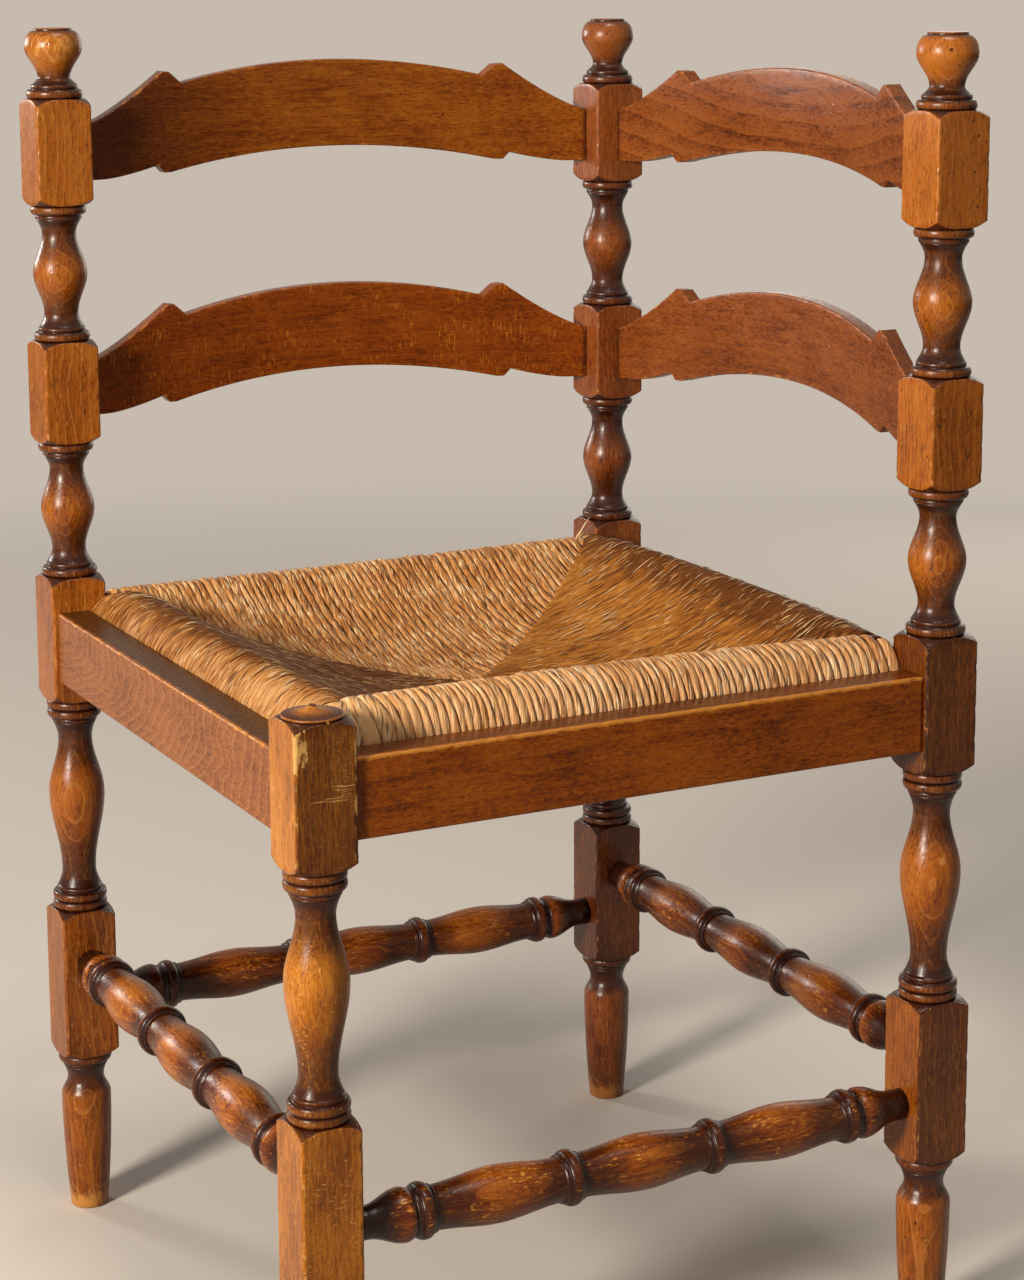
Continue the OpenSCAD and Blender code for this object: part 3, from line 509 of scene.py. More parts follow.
def moulding(beads, neckD, coveH):
    # Beads one above the other, a fillet, and a quarter hollow in to the neck
    beadH, fillet = post["beadH"], post["filletD"] / 2
    filletTop = beads * beadH + post["filletH"]
    curves = [beadCurve(post["beadD"] / 2, k * beadH, beadH) for k in range(beads)]
    curves.append(filletCurve(fillet, beads * beadH, filletTop))
    curves.append(hollowCurve(fillet - post["filletEdge"], filletTop, neckD / 2, filletTop + coveH))
    return np.concatenate(curves)


def mirrored(curve, height=0):
    # The same curve from its other end, which lies at height
    return curve[::-1] * [1, -1, 1] + [0, height, 0]


def swellTurning(turning, height):
    # A moulding, a cosine swell out to the widest place and back, and the moulding upside down
    ends = moulding(turning["beads"], turning["neckD"], turning["coveH"])
    neckZ = turning["beads"] * post["beadH"] + post["filletH"] + turning["coveH"]
    neck, wide, wideZ = turning["neckD"] / 2, turning["wideD"] / 2, turning["wideZ"] or height / 2
    low, middle, high = turning["stains"]
    return np.concatenate([ends, swellCurve(neck, neckZ, wide, wideZ, low, middle, 0.9)[1:],
                           swellCurve(wide, wideZ, neck, height - neckZ, middle, high, 0.9)[1:-1],
                           mirrored(ends, height)])


def footTurning():
    # A taper that swells into a bulb by a power of the height, a neck, a hollow, a fillet and a bead
    t = np.linspace(0, 1, 60)
    foot, bulb, bulbZ = post["footD"] / 2, post["footBulbD"] / 2, post["footBulbZ"]
    taper = np.stack([foot + (bulb - foot) * (1 - (1 - t) ** 1.8), bulbZ * t, 0 * t], -1)
    taper[0, 0] -= post["footWorn"]   # worn edge at the floor
    taper[1, 1] = post["footWorn"]
    neckZ, beadZ = bulbZ + post["footNeckH"], post["foot"] - post["beadH"]
    neck, fillet, filletZ = post["footNeckD"] / 2, post["filletD"] / 2, beadZ - post["filletH"]
    return np.concatenate([taper, swellCurve(bulb, bulbZ, neck, neckZ, 0, 0.5)[1:],
                           hollowCurve(fillet - post["filletEdge"], filletZ, neck, neckZ)[::-1][1:],
                           filletCurve(fillet, filletZ, beadZ),
                           beadCurve(post["beadD"] / 2, beadZ, post["beadH"])])


def finialTurning():
    # A moulding, a cosine swell out to the knob, a quarter ellipse over its crown, and a flat button
    height, wideZ = post["finial"], post["finial"] - post["finialCrownH"]
    neck, neckZ = post["finialNeckD"] / 2, post["beadH"] + post["filletH"] + post["finialCoveH"]
    knob, button = post["finialD"] / 2, post["buttonD"] / 2
    angle = np.linspace(0, math.pi / 2, 14)
    crown = np.stack([button + (knob - button) * np.cos(angle),
                      wideZ + (post["finialCrownH"] - post["buttonH"]) * np.sin(angle),
                      0.75 * (angle / angle[-1]) ** 3], -1)
    top = np.array([[button, height - post["buttonH"] + 0.1, 0.9], [button, height - 0.4, 0.3],
                    [button - 0.4, height, 0.1], [button * 0.6, height, 0.0], [1.5, height, 0.0]])
    return np.concatenate([moulding(1, post["finialNeckD"], post["finialCoveH"]),
                           swellCurve(neck, neckZ, knob, wideZ, 0.45, -0.3, 0.6)[1:], crown[1:], top])


def capTurning():
    # A thin disc, a hollow in to the tip, and an elliptic dome over it
    disc, discH, tip = post["capD"] / 2, post["capDiscH"], post["capTip"]
    tipZ = post["capH"] - tip / 2
    angle = np.linspace(0, 1.45, 6)
    dome = np.stack([tip * np.cos(angle), tipZ + (post["capH"] - tipZ) * np.sin(angle), np.full(6, 0.5)], -1)
    rim = np.array([[disc, 0, 1.0], [disc, discH - 0.4, 0.1], [disc - 0.6, discH, 0.2]])
    hollow = hollowCurve(disc - 1, discH, tip, tipZ) - [0, 0, 0.5]
    return np.concatenate([rim, hollow, dome[1:]])


def squareSection():
    # Corner points of a square with round corners, as angle, distance and how near the arris they are
    half, radius = post["blockSide"] / 2, post["cornerRound"]
    flat = half - radius
    along = flat * np.sin(np.linspace(-math.pi / 2, math.pi / 2, 17)[:-1])   # closer towards the arrises
    arc = np.linspace(0, math.pi / 2, 7)[:-1]
    x = np.concatenate([np.full(16, half), flat + radius * np.cos(arc)])
    y = np.concatenate([along, flat + radius * np.sin(arc)])
    near = np.concatenate([ramp(np.abs(along), flat - 1.0, flat + 0.3) * 0.8, np.ones(6)])
    quarters = [np.arctan2(y, x) + math.pi / 2 * k for k in range(4)]
    return np.concatenate(quarters), np.tile(np.hypot(x, y), 4), np.tile(near, 4)


def blockRings(z, height, reach, near, seed):
    # A block between z and z + height, as grids of radius, height, stain and wear: the end face rises
    # to the arris along the turned shoulder, by a power of the radius, and the faces run straight
    half, root = post["blockSide"] / 2, post["beadD"] / 2 - post["beadRoot"]
    cornerR = half * 2 ** 0.5 - post["arris"]
    soften, around = post["arrisRound"], len(reach)

    def shoulderZ(radius):
        # Level out to the faces' middle, then up by a power of the way left to the arris
        return post["shoulder"] * np.clip((radius - half) / (cornerR - half), 0, None) ** 1.3

    inner = reach[None, :] - soften
    ends = root + (inner - root) * np.linspace(0, 1, 9)[:, None]
    bend = np.linspace(0, math.pi / 2, 5)[1:, None]
    lowR = np.concatenate([ends, inner + soften * np.sin(bend)])
    lowZ = np.concatenate([shoulderZ(ends), shoulderZ(inner) + soften * (1 - np.cos(bend))])
    rows = int(height / 2)
    faceR = np.repeat(reach[None, :], rows - 2, 0)
    faceZ = lowZ[-1] + (height - 2 * lowZ[-1]) * np.linspace(0, 1, rows)[1:-1, None]
    # Small dents and flats worn along the arrises
    dents = np.stack([wander(faceZ[:, 0], 5 + k, seed + k) for k in range(4)], 1)
    dents = np.repeat(np.clip(dents - 0.35, 0, None), around // 4, 1)
    faceR = faceR - post["dents"] * dents * (near[None, :] > 0.99)
    # Wear is light on the end faces and strong on the arrises, most of all near the block's ends
    wearLow = np.concatenate([np.repeat(0.12 * near[None, :], 9, 0), np.full((4, around), 0.5)])
    nearEnds = ramp(np.abs(faceZ - height / 2), height / 2 - post["shoulder"] - 5, height / 2 - 1)
    wearFace = np.repeat(0.53 * near[None, :], rows - 2, 0) + 0.25 * nearEnds
    fading = np.repeat(np.linspace(1.1, 0.1, 13)[:, None], around, 1)
    return (np.concatenate([lowR, faceR, lowR[::-1]]),
            np.concatenate([lowZ, faceZ, height - lowZ[::-1]]) + z,
            np.concatenate([fading, 0 * faceR, fading[::-1]]),
            np.concatenate([wearLow, wearFace, wearLow[::-1]]))


# Blocks painted darker, partly stain and partly painted shade, which lies mostly on the faces towards
# the front right that turn from the key lamp: low and high ends in mm, and how much on the faces
# towards the front left and the front right
blockShadeAndStain = {
    "front": [(359, 445, 0, 0.4)],
    "right": [(359, 445, 0.4, 0.42), (110, 215, 0.15, 0.35), (533, 601, 0.05, 0.1)],
    "back": [(110, 215, 0.3, 0.3)],
    "left": [(110, 215, 0, 0.1)],
}

# Marks on the front of the posts' faces and swells: middle height, half height, place across and half
# width in mm, and how much they are scratched and rubbed bare
postMarks = {
    "front": [(402, 4.5, 2, 17, 0.86, 0), (408, 2, 10, 8, 1.0, 0), (429, 11, -13.5, 5, 0, 0.72),
              (393, 4, -11, 4, 0.3, 0.5), (379, 5, -12, 4, 0.2, 0.55), (397, 5, 17, 3, 0.2, 0.45),
              (425, 8, 15, 3, 0, 0.35), (170, 30, 0, 19, 0.12, 0.08)],
    "right": [(306, 4, -3, 4, 0, 0.62), (312, 2, 5, 2, 0, 0.5), (560, 14, 8, 8, 0.3, 0.25),
              (585, 9, 12, 6, 0.2, 0.3), (160, 25, -4, 9, 0.2, 0.25), (715, 20, 14, 6, 0.15, 0.2)],
    "back": [],
    "left": [(145, 4, 3, 4, 0, 0.4), (735, 12, 0, 12, 0.1, 0.1), (789, 13, 0, 24, 0, 0.56)],
}


def turnedRings(curve, z, around):
    # The rows of a curve with its foot at z, the same all round, with a little wear
    radius, rise, stain = (np.repeat(curve[:, k:k + 1], around, 1) for k in range(3))
    return radius, rise + z, stain, np.full(radius.shape, post["wear"])


def postPiece(corner, tall, material, seed):
    # A stack of turnings and blocks from the foot up to the cap, or on a tall post to the finial
    angle, reach, near = squareSection()
    storeys = ["stretcherBlock", "vaseTurning", "seatBlock"]
    if tall:
        storeys += ["lowTurning", "lowBlock", "highTurning", "highBlock"]
    parts, z = [turnedRings(footTurning(), 0, len(angle))], post["foot"]
    for storey in storeys:
        height = post[storey]
        if storey.endswith("Block"):
            parts.append(blockRings(z, height, reach, near, seed))
            seed += 20
        else:
            turning = swellTurning(vaseTurning if storey == "vaseTurning" else bulbTurning, height)
            parts.append(turnedRings(turning, z, len(angle)))
        z += height
    parts.append(turnedRings(finialTurning() if tall else capTurning(), z, len(angle)))
    radius, rise, stain, wear = (np.concatenate(grids) for grids in zip(*parts))

    half = post["blockSide"] / 2
    onLeft, onRight = (ramp(-radius * turn, half - 2, half - 0.5) for turn in (np.cos(angle), np.sin(angle)))
    # Painted shade and darker stain on the listed block faces
    for low, high, leftFace, rightFace in blockShadeAndStain[corner]:
        stain = stain + (leftFace * onLeft + rightFace * onRight) * (rise > low) * (rise < high)
    scuffed = np.zeros_like(rise)
    across = radius * np.cos(angle)
    for middle, high, place, wide, scratches, bare in postMarks[corner]:
        spot = np.exp(-((rise - middle) / high) ** 4 - ((across - place) / wide) ** 4) * (np.sin(angle) < 0.3)
        scuffed = scuffed + scratches * spot
        wear = wear + bare * spot
    # The foot's end is rubbed to bare wood
    wear = wear + 0.45 * (1 - ramp(rise, 3, 26)) + 0.25 * (1 - ramp(rise, 15, 85))
    x, y = postAxes[corner]
    rings = np.stack([x + radius * np.cos(angle), y + radius * np.sin(angle), rise], -1)
    addWood("turned_" + corner + "_post", rings, {"hollow": stain, "wear": wear, "scuffed": scuffed},
            material, corner + "_post")


# The heart of the tree lies on the camera's side of each post, so that the turned swells cut the
# rings in ovals
pithPlaces = {"front": (60, 66, 0), "right": (45, 80, 0), "back": (62, 60, 0), "left": (40, 85, 0)}
postStains = {
    "front": beechLooks["frontPost"],
    "right": {**beechLooks["post"], "spots": 0.72},
    "back": {**beechLooks["post"], "dark": "#57280f", "mid": "#8a471b", "light": "#a05a26", "fleck": "#b8733a",
             "worn": "#b8763c", "line": "#5a2c12", "gloss": 0.4},
    "left": {**beechLooks["post"], "dark": "#753709", "mid": "#a05512", "light": "#b3691d"},
}
for index, (corner, look) in enumerate(postStains.items()):
    material = stainedBeech("stained_beech_" + corner + "_post", look, (*postAxes[corner], 400), (0, 0, 0),
                            pithPlaces[corner])
    postPiece(corner, corner != "front", material, 100 * index + 3)
print("posts turned")


# boards: ladder rails and seat rails

def roundedBoard(x, front, back, low, high, edge, across=3):
    # Rings of a board along x, whose section is a rectangle with round edges of radius edge, and how
    # near an edge each point is. front and back are y, low and high are z, all arrays along x
    steps, upright = 6, 14
    back, front, high, low = back - edge, front + edge, high - edge, low + edge
    centres = [(back, high), (front, high), (front, low), (back, low)]
    ys, zs, nearEdge = [], [], []
    for k, (cy, cz) in enumerate(centres):
        angle = np.linspace(0, math.pi / 2, steps) + k * math.pi / 2
        startY, startZ = cy[:, None] + edge * np.cos(angle), cz[:, None] + edge * np.sin(angle)
        t = np.linspace(0, 1, (across if k % 2 == 0 else upright) + 2)[1:-1]
        nextY, nextZ = centres[(k + 1) % 4]
        endY = nextY[:, None] + edge * math.cos((k + 1) * math.pi / 2)
        endZ = nextZ[:, None] + edge * math.sin((k + 1) * math.pi / 2)
        ys += [startY, startY[:, -1:] + (endY - startY[:, -1:]) * t]
        zs += [startZ, startZ[:, -1:] + (endZ - startZ[:, -1:]) * t]
        nearEdge += [np.ones(steps), np.maximum(1 - t * 6, t * 6 - 5).clip(0) * 0.6]
    y, z = np.concatenate(ys, 1), np.concatenate(zs, 1)
    rings = np.stack([np.repeat(x[:, None], y.shape[1], 1), y, z], -1)
    return rings, np.repeat(np.concatenate(nearEdge)[None, :], len(x), 0)


def withTenons(rings, near, size, clear, middleY, middleZ):
    # The board with a tenon at each end: its end ring pressed to the tenon's section, once at the
    # shoulder and once inside the post
    def pressed(ring, x):
        # The ring at x, with each point that lies past the section moved in to its edge
        fits = ring.copy()
        fits[:, 0] = x
        for axis, middle, reach in ((1, middleY, size["tenonT"] / 2), (2, middleZ, size["tenonH"] / 2)):
            fits[:, axis] = middle + np.clip(ring[:, axis] - middle, -reach, reach)
        return fits

    far = clear + size["tenonL"]
    rings = np.concatenate([[pressed(rings[0], -far), pressed(rings[0], -clear)], rings,
                            [pressed(rings[-1], clear), pressed(rings[-1], far)]])
    return rings, np.concatenate([near[:2], near, near[-2:]])


ladder = {
    "thickness": 11, "bow": 24, "inset": 2.5, "endH": 36, "crown": 57, "notch": 43, "point": 51,
    "notchX": 112, "stepW": 9, "pointW": 5, "hollow": 2.8, "lowPoint": 15.8, "lowStep": 5, "flatW": 14,
    "lowerZ": 567.0, "upperZ": 721.75, "edge": 1.1, "tenonT": 8, "tenonH": 28, "tenonL": 14.5, "wear": 0.56,
    # Painted shadow of the left post: how much darker a rail is at its end towards x above zero,
    # and where that sets in
    "darkX": (30, 150),
    "postShadowEnds": {"upper_left": 0.4, "lower_left": 0.15, "upper_right": 0, "lower_right": 0},
    # How much higher each hand-cut rail's crown, points, hollow and lower points lie
    "cuts": {"upper_left": (-1, 0, 0, 0), "upper_right": (-4.5, -4, 0.5, 0),
             "lower_left": (0, 0, 1.5, 0.5), "lower_right": (2, 0, 5.5, 2.5)},
    "looks": {
        "upper_right": {"dark": "#5a290c", "mid": "#8f4b1c", "light": "#9e5a26", "fleckAmount": 0.1,
                        "ring": 0.35, "lines": 0.0, "ringSpacing": 12, "lean": 0.34},
        "lower_right": {"dark": "#5a290c", "mid": "#874518", "light": "#9e5a26", "fleckAmount": 0.1},
        "upper_left": {"mid": "#914c0e", "light": "#a9681c"},
        "lower_left": {"dark": "#5c2504", "mid": "#8a3f07", "light": "#9d5210", "fleckAmount": 0.6,
                       "fleck": "#bf7320", "fleckSize": (7, 0.7)},
    },
}


def ladderOutline(x, clear, cut):
    # Top and bottom of a ladder rail above the middle of its ends, at distance x from its middle:
    # a parabola to the notch, a step up to the point, and a slope down to the end
    crown, notchZ, pointZ = ladder["crown"] + cut[0], ladder["notch"] + cut[1], ladder["point"] + cut[1]
    hollow, lowPoint = cut[2] - ladder["hollow"], cut[3] - ladder["lowPoint"]
    notch, point = ladder["notchX"], ladder["notchX"] + ladder["stepW"]
    slope = point + ladder["pointW"]
    stepX, flatX, end = slope + ladder["lowStep"], clear - ladder["flatW"], ladder["endH"] / 2
    stepZ = ladder["lowStep"] + lowPoint
    away = np.abs(x)
    top = np.select(
        [away < notch, away < point, away < slope],
        [crown - (crown - notchZ) * (away / notch) ** 2,
         notchZ + (pointZ - 0.5 - notchZ) * (away - notch) / ladder["stepW"],
         pointZ - 0.5 + 0.5 * (away - point) / ladder["pointW"]],
        end + (pointZ - end) * np.clip((clear - away) / (clear - slope), 0, 1) ** 1.3)
    bottom = np.select(
        [away < point, away < slope, away < stepX],
        [hollow + (lowPoint - hollow) * (away / point) ** 2,
         np.full_like(away, lowPoint),
         lowPoint + (away - slope)],
        -end + (stepZ + end) * np.clip((flatX - away) / (flatX - stepX), 0, 1) ** 1.5)
    return top, bottom


def ladderPiece(side, name, middleZ, cut, postShadow, material):
    # A board of even thickness bent to a circle's arc, with the outline of a ladder rail
    clear = halfPitch - post["blockSide"] / 2
    marks = np.cumsum([ladder["notchX"], ladder["stepW"], ladder["pointW"], ladder["lowStep"]])
    x = np.unique(np.concatenate([np.linspace(-clear, clear, 380), marks, marks + 0.25, -marks, -marks - 0.25]))
    top, bottom = ladderOutline(x, clear, cut)
    radius = (clear ** 2 + ladder["bow"] ** 2) / (2 * ladder["bow"])
    axisY = -halfPitch + ladder["inset"] - ladder["bow"] + radius
    inner = axisY - np.sqrt(radius ** 2 - x ** 2)
    outer = axisY - np.sqrt((radius + ladder["thickness"]) ** 2 - x ** 2)
    rings, near = roundedBoard(x, outer, inner, middleZ + bottom, middleZ + top, ladder["edge"])
    tenonY = -halfPitch + ladder["inset"] - ladder["thickness"] / 2
    rings, near = withTenons(rings, near, ladder, clear, tenonY, middleZ)
    along = rings[:, :1, 0] * np.ones(rings.shape[1])
    # Darker stain at both ends where the rail meets the posts, and the left post's painted shadow towards x
    # above zero
    stain = 0.5 * ramp(np.abs(along), clear - 5, clear) + postShadow * ramp(along, *ladder["darkX"])
    addWood("bowed_" + name, onSide(rings, side), {"hollow": stain, "wear": near * ladder["wear"]},
            material, name)


for side, handed in ((1, "right"), (2, "left")):
    for level in ("upper", "lower"):
        middleZ, rail = ladder[level + "Z"], level + "_" + handed
        look = {**beechLooks["ladder"], **ladder["looks"][rail]}
        material = beechAlong(side, "stained_beech_" + level + "_rail_" + handed, look, -halfPitch, middleZ,
                              (95, 8, 0) if level == "upper" else (-70, 25, 0))
        ladderPiece(side, level + "_ladder_rail_" + handed, middleZ, ladder["cuts"][rail],
                    ladder["postShadowEnds"][rail], material)
print("ladder rails bent")


seatRail = {"height": 46.5, "thickness": 22, "setback": 3, "topZ": 422, "edge": 1.3,
            "tenonT": 10, "tenonH": 30, "tenonL": 15, "wear": 0.35}


def seatRailPiece(side, name, material):
    # A straight board whose outer top arris is worn in shallow waves. topDarkness is how dark its top
    # is, and arrisWear how bare that arris
    clear = halfPitch - post["blockSide"] / 2
    outer = -(halfPitch + post["blockSide"] / 2 - seatRail["setback"])
    # How much darker the top face is, and how bare the outer top arris
    topDarkness, arrisWear = (0.85, 0.64) if side == 3 else (0.4, 0.8)
    top = seatRail["topZ"]
    x = np.linspace(-clear, clear, 150)
    bounds = (outer, outer + seatRail["thickness"], top - seatRail["height"], top)
    rings, near = roundedBoard(x, *(bound * np.ones_like(x) for bound in bounds), seatRail["edge"], across=6)
    worn = (rings[:, :, 2] > top - 2.2) & (rings[:, :, 1] < outer + 3)
    dents = np.clip(wander(x, 9, 11 + side), 0, None)[:, None] * worn * near
    rings[:, :, 2] -= 0.35 * dents
    rings[:, :, 1] += 0.3 * dents
    rings, near = withTenons(rings, near, seatRail, clear, outer + seatRail["thickness"] / 2,
                             top - seatRail["height"] / 2)
    outerTop = (rings[:, :, 2] > top - 3) & (rings[:, :, 1] < outer + 3)
    onTop = ramp(rings[:, :, 2], top - 1.2, top - 0.2) * ramp(rings[:, :, 1], outer + 1.5, outer + 4)
    wear = near * np.where(outerTop, arrisWear, seatRail["wear"])
    addWood("flat_" + name, onSide(rings, side), {"hollow": topDarkness * onTop, "wear": wear},
            material, name)


for side, sideName in enumerate(sides):
    look, pith = beechLooks["apron"], (80, 30, 0)
    if sideName == "front_left":
        look = {**look, "ringSpacing": 3.4, "lines": 0.6, "gloss": 0.12, "line": "#bd7d4c", "ring": 0.2,
                "dark": "#6e3a1a", "mid": "#985a30", "light": "#aa6c3e", "hollow": "#4a2a10",
                "fleckAmount": 0.1, "cloud": 0.6, "lean": 0.3}
        pith = (6, 30, 210)   # past the rail's end, so that its face cuts the rings in arches
    material = beechAlong(side, "stained_beech_seat_rail_" + sideName, look, -halfPitch,
                          seatRail["topZ"] - 20, pith)
    seatRailPiece(side, "seat_rail_" + sideName, material)
print("seat rails placed")


# stretchers

stretcher = {
    "lowZ": 147, "highZ": 178, "bulbD": 33, "waistD": 26, "collarD": 33, "beadW": 8, "filletD": 28.5,
    "filletW": 2.5, "innerX": 48, "outerX": 143, "endBulbD": 31.5, "endBulbRise": 1.5, "endBulbRun": 5,
    "endD": 19, "endL": 8, "tenonD": 15, "tenonL": 15, "wear": 0.14,
}


def collarCurve(x):
    # A half-round bead between two fillets, which stand proud of the bulbs beside them
    r, half = stretcher["filletD"] / 2, stretcher["beadW"] / 2
    outer = half + stretcher["filletW"]
    angle = np.linspace(0, math.pi, 13)
    bead = np.stack([r + (stretcher["collarD"] / 2 - r) * np.sin(angle), -half * np.cos(angle),
                     0.4 + 0.85 * np.abs(np.cos(angle)) ** 4], -1)
    fillet = np.array([[r - 1.2, -outer - 0.2, 1.0], [r - 0.1, 0.1 - outer, 0.8], [r, 0.5 - outer, 0.6],
                       [r - 0.3, -half - 0.2, 1.0]])
    return np.concatenate([fillet, bead, mirrored(fillet)]) + [0, x, 0]


def stretcherCurve(clear):
    # Half a stretcher from its middle to its end: cosine swells between the waists, two collars, a
    # shorter bulb, the thin end and the tenon
    waist, wide, endBulb = stretcher["waistD"] / 2, stretcher["bulbD"] / 2, stretcher["endBulbD"] / 2
    end, tenon = stretcher["endD"] / 2, stretcher["tenonD"] / 2
    half = stretcher["beadW"] / 2 + stretcher["filletW"]
    a, b = stretcher["innerX"] - half, stretcher["innerX"] + half
    c, d = stretcher["outerX"] - half, stretcher["outerX"] + half
    neck, wideEnd = clear - stretcher["endL"], d + stretcher["endBulbRun"]
    return np.concatenate([
        swellCurve(wide, 0, waist, a, -0.1, 0.45), collarCurve(stretcher["innerX"]),
        swellCurve(waist, b, wide, (b + c) / 2, 0.45, -0.1)[1:],
        swellCurve(wide, (b + c) / 2, waist, c, -0.1, 0.45)[1:-1], collarCurve(stretcher["outerX"]),
        swellCurve(endBulb - stretcher["endBulbRise"], d, endBulb, wideEnd, 0.6, 0.1)[1:],
        swellCurve(endBulb, wideEnd, end, neck, 0.1, 0.8)[1:],
        [[end, clear, 1.0], [tenon, clear, 1.0], [tenon, clear + stretcher["tenonL"], 1.0]]])


def stretcherPiece(side, name, z, material):
    # The curve and its mirror image, turned round a level axis
    half = stretcherCurve(halfPitch - post["blockSide"] / 2)
    curve = np.concatenate([mirrored(half)[:-1], half])
    angle = np.linspace(0, 2 * math.pi, 72, endpoint=False)
    radius, along, stain = (np.repeat(curve[:, k:k + 1], len(angle), 1) for k in range(3))
    rings = np.stack([along, -halfPitch + radius * np.cos(angle), z + radius * np.sin(angle)], -1)
    addWood("turned_" + name, onSide(rings, side), {"hollow": stain, "wear": 0 * stain + stretcher["wear"]},
            material, name)


for side, sideName in enumerate(sides):
    z = stretcher["lowZ"] if side % 2 == 0 else stretcher["highZ"]
    look = dict(beechLooks["stretcher"])
    if sideName.startswith("back"):
        look.update(dark="#4c1d06", mid="#854012", light="#a55c1c", fleckAmount=0.35, spots=0.7)
    if sideName == "front_right":
        look.update(dark="#521f04", mid="#8c440f", light="#ae611a")
    material = beechAlong(side, "stained_beech_stretcher_" + sideName, look, -halfPitch, z,
                          (12, 20 + 5 * side, 0))
    stretcherPiece(side, "stretcher_" + sideName, z, material)
print("stretchers turned")


# rush seat

seatLow, seatHigh = (np.array(corner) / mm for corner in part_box("rush_seat"))

rush = {
    "half": (seatHigh[0] - seatLow[0]) / 2, "cornerNotch": 12, "railTop": seatRail["topZ"],
    "roll": 26, "middle": -28, "underFlat": 32, "underSag": 32, "depth": 18,
    "cords": 68, "around": 12, "step": 3.4, "fineStep": 1.6, "tuck": 2.6, "tail": 3.5,
    "turn": 6.5,          # radius at the seat's edge
    "lobe": 0.09,         # how far a cord's radius swells with its strands
    "looseStraws": 330, "lay": 0.16,
    # The cords beside the posts are thicker: the first ones, on the front right side and on the
    # others, and the last two
    "firstRight": (2.4, 1.9, 1.5, 1.3), "first": (1.5, 1.35, 1.15, 1.0), "last": (1.15, 1.3),
    # Broken ends by the back post: x and y of the foot, how they lean, and their height, in mm
    "brokenEnds": ((158, 170, 9, -1, 17), (160, 172, 12, 0, 11), (155, 168, 3, -2, 9)),
}

cordAngle = np.arange(rush["around"]) / rush["around"] * 2 * math.pi

# The cords of the front right and back left sides still stand apart. On the other two sides they
# are worn flat and lie as one skin. wide is a share of a cord's spacing; dive and past say how far
# a cord sinks before the diagonal and runs on past it, at the side's start and at its end; crest is
# the height of its roll over the rails at the start, middle and end. Cords lean by so many mm on
# their way in. shade is how much their tones differ, and paler how much lighter they get towards the
# start (below zero) or the end. The last entry is how much painted shade the side gets and the
# distances inward between which it does: on the front left dish and the back right roll, which turn
# from the key lamp; below zero, on the outer face of the front right roll, it is painted light
rushSides = {
    "front_right": {"wide": 0.53, "tall": 2.4, "ragged": 0.45, "dive": (0, 0), "past": (2, 2), "lean": 4.5,
                    "shade": 0.5, "paler": -0.8, "paintedShading": (-0.7, 22, 8), "crest": (21.5, 22.5, 18.5)},
    "back_right": {"wide": 0.6, "tall": 1.9, "ragged": 0.22, "dive": (3, 0), "past": (0, 2.5), "lean": -2,
                   "shade": 0.3, "paler": 0.8, "paintedShading": (2.6, 62, 20), "crest": (18.5, 22.5, 17)},
    "back_left": {"wide": 0.5, "tall": 2.5, "ragged": 0.4, "dive": (0, 0), "past": (0, 4), "lean": -2,
                  "shade": 0.45, "paler": 0, "paintedShading": (0, 10, 20), "crest": (17, 15.5, 16)},
    "front_left": {"wide": 0.62, "tall": 1.8, "ragged": 0.2, "dive": (3.5, 1.5), "past": (0, 0), "lean": 3,
                   "shade": 0.25, "paler": 1.6, "paintedShading": (2.1, 7, 26), "crest": (16, 18, 21.5)},
}


def rushTop(inward, crest):
    # Height of the seat over its rails at a distance inward from its edge: a round roll up to the
    # crest, then a dish that levels out at the middle, with the crest itself worn round
    roll, middle, half = rush["roll"], rush["middle"], rush["half"]

    def sharp(place):
        # Up to the crest by a cube, then down to the middle by a power of the way left
        rising = crest * (1 - np.clip(1 - place / roll, 0, 1) ** 3)
        dish = middle + (crest - middle) * np.clip(1 - (place - roll) / (half - roll), 0, 1) ** 2.4
        return np.where(place < roll, rising, dish)

    worn = sum(sharp(inward + shift) for shift in (-7, -3.5, 0, 3.5, 7)) / 5
    return sharp(inward) + (worn - sharp(inward)) * ramp(inward, 6, 18)


def crestHeight(look, place):
    # The roll is fullest at the front: a parabola along the side through its two ends and middle
    start, middle, end = look["crest"]
    u = place / (rush["half"] - rush["cornerNotch"])
    return middle + (end - start) / 2 * u + ((start + end) / 2 - middle) * u * u


def rushUnder(inward):
    # Height of the underside over the rails: flat near the edge, then a sag that levels out
    share = np.clip(inward - rush["underFlat"], 0, None) / (rush["half"] - rush["underFlat"])
    return -rush["depth"] - rush["underSag"] * (1 - np.clip(1 - share, 0, 1) ** 2.2)


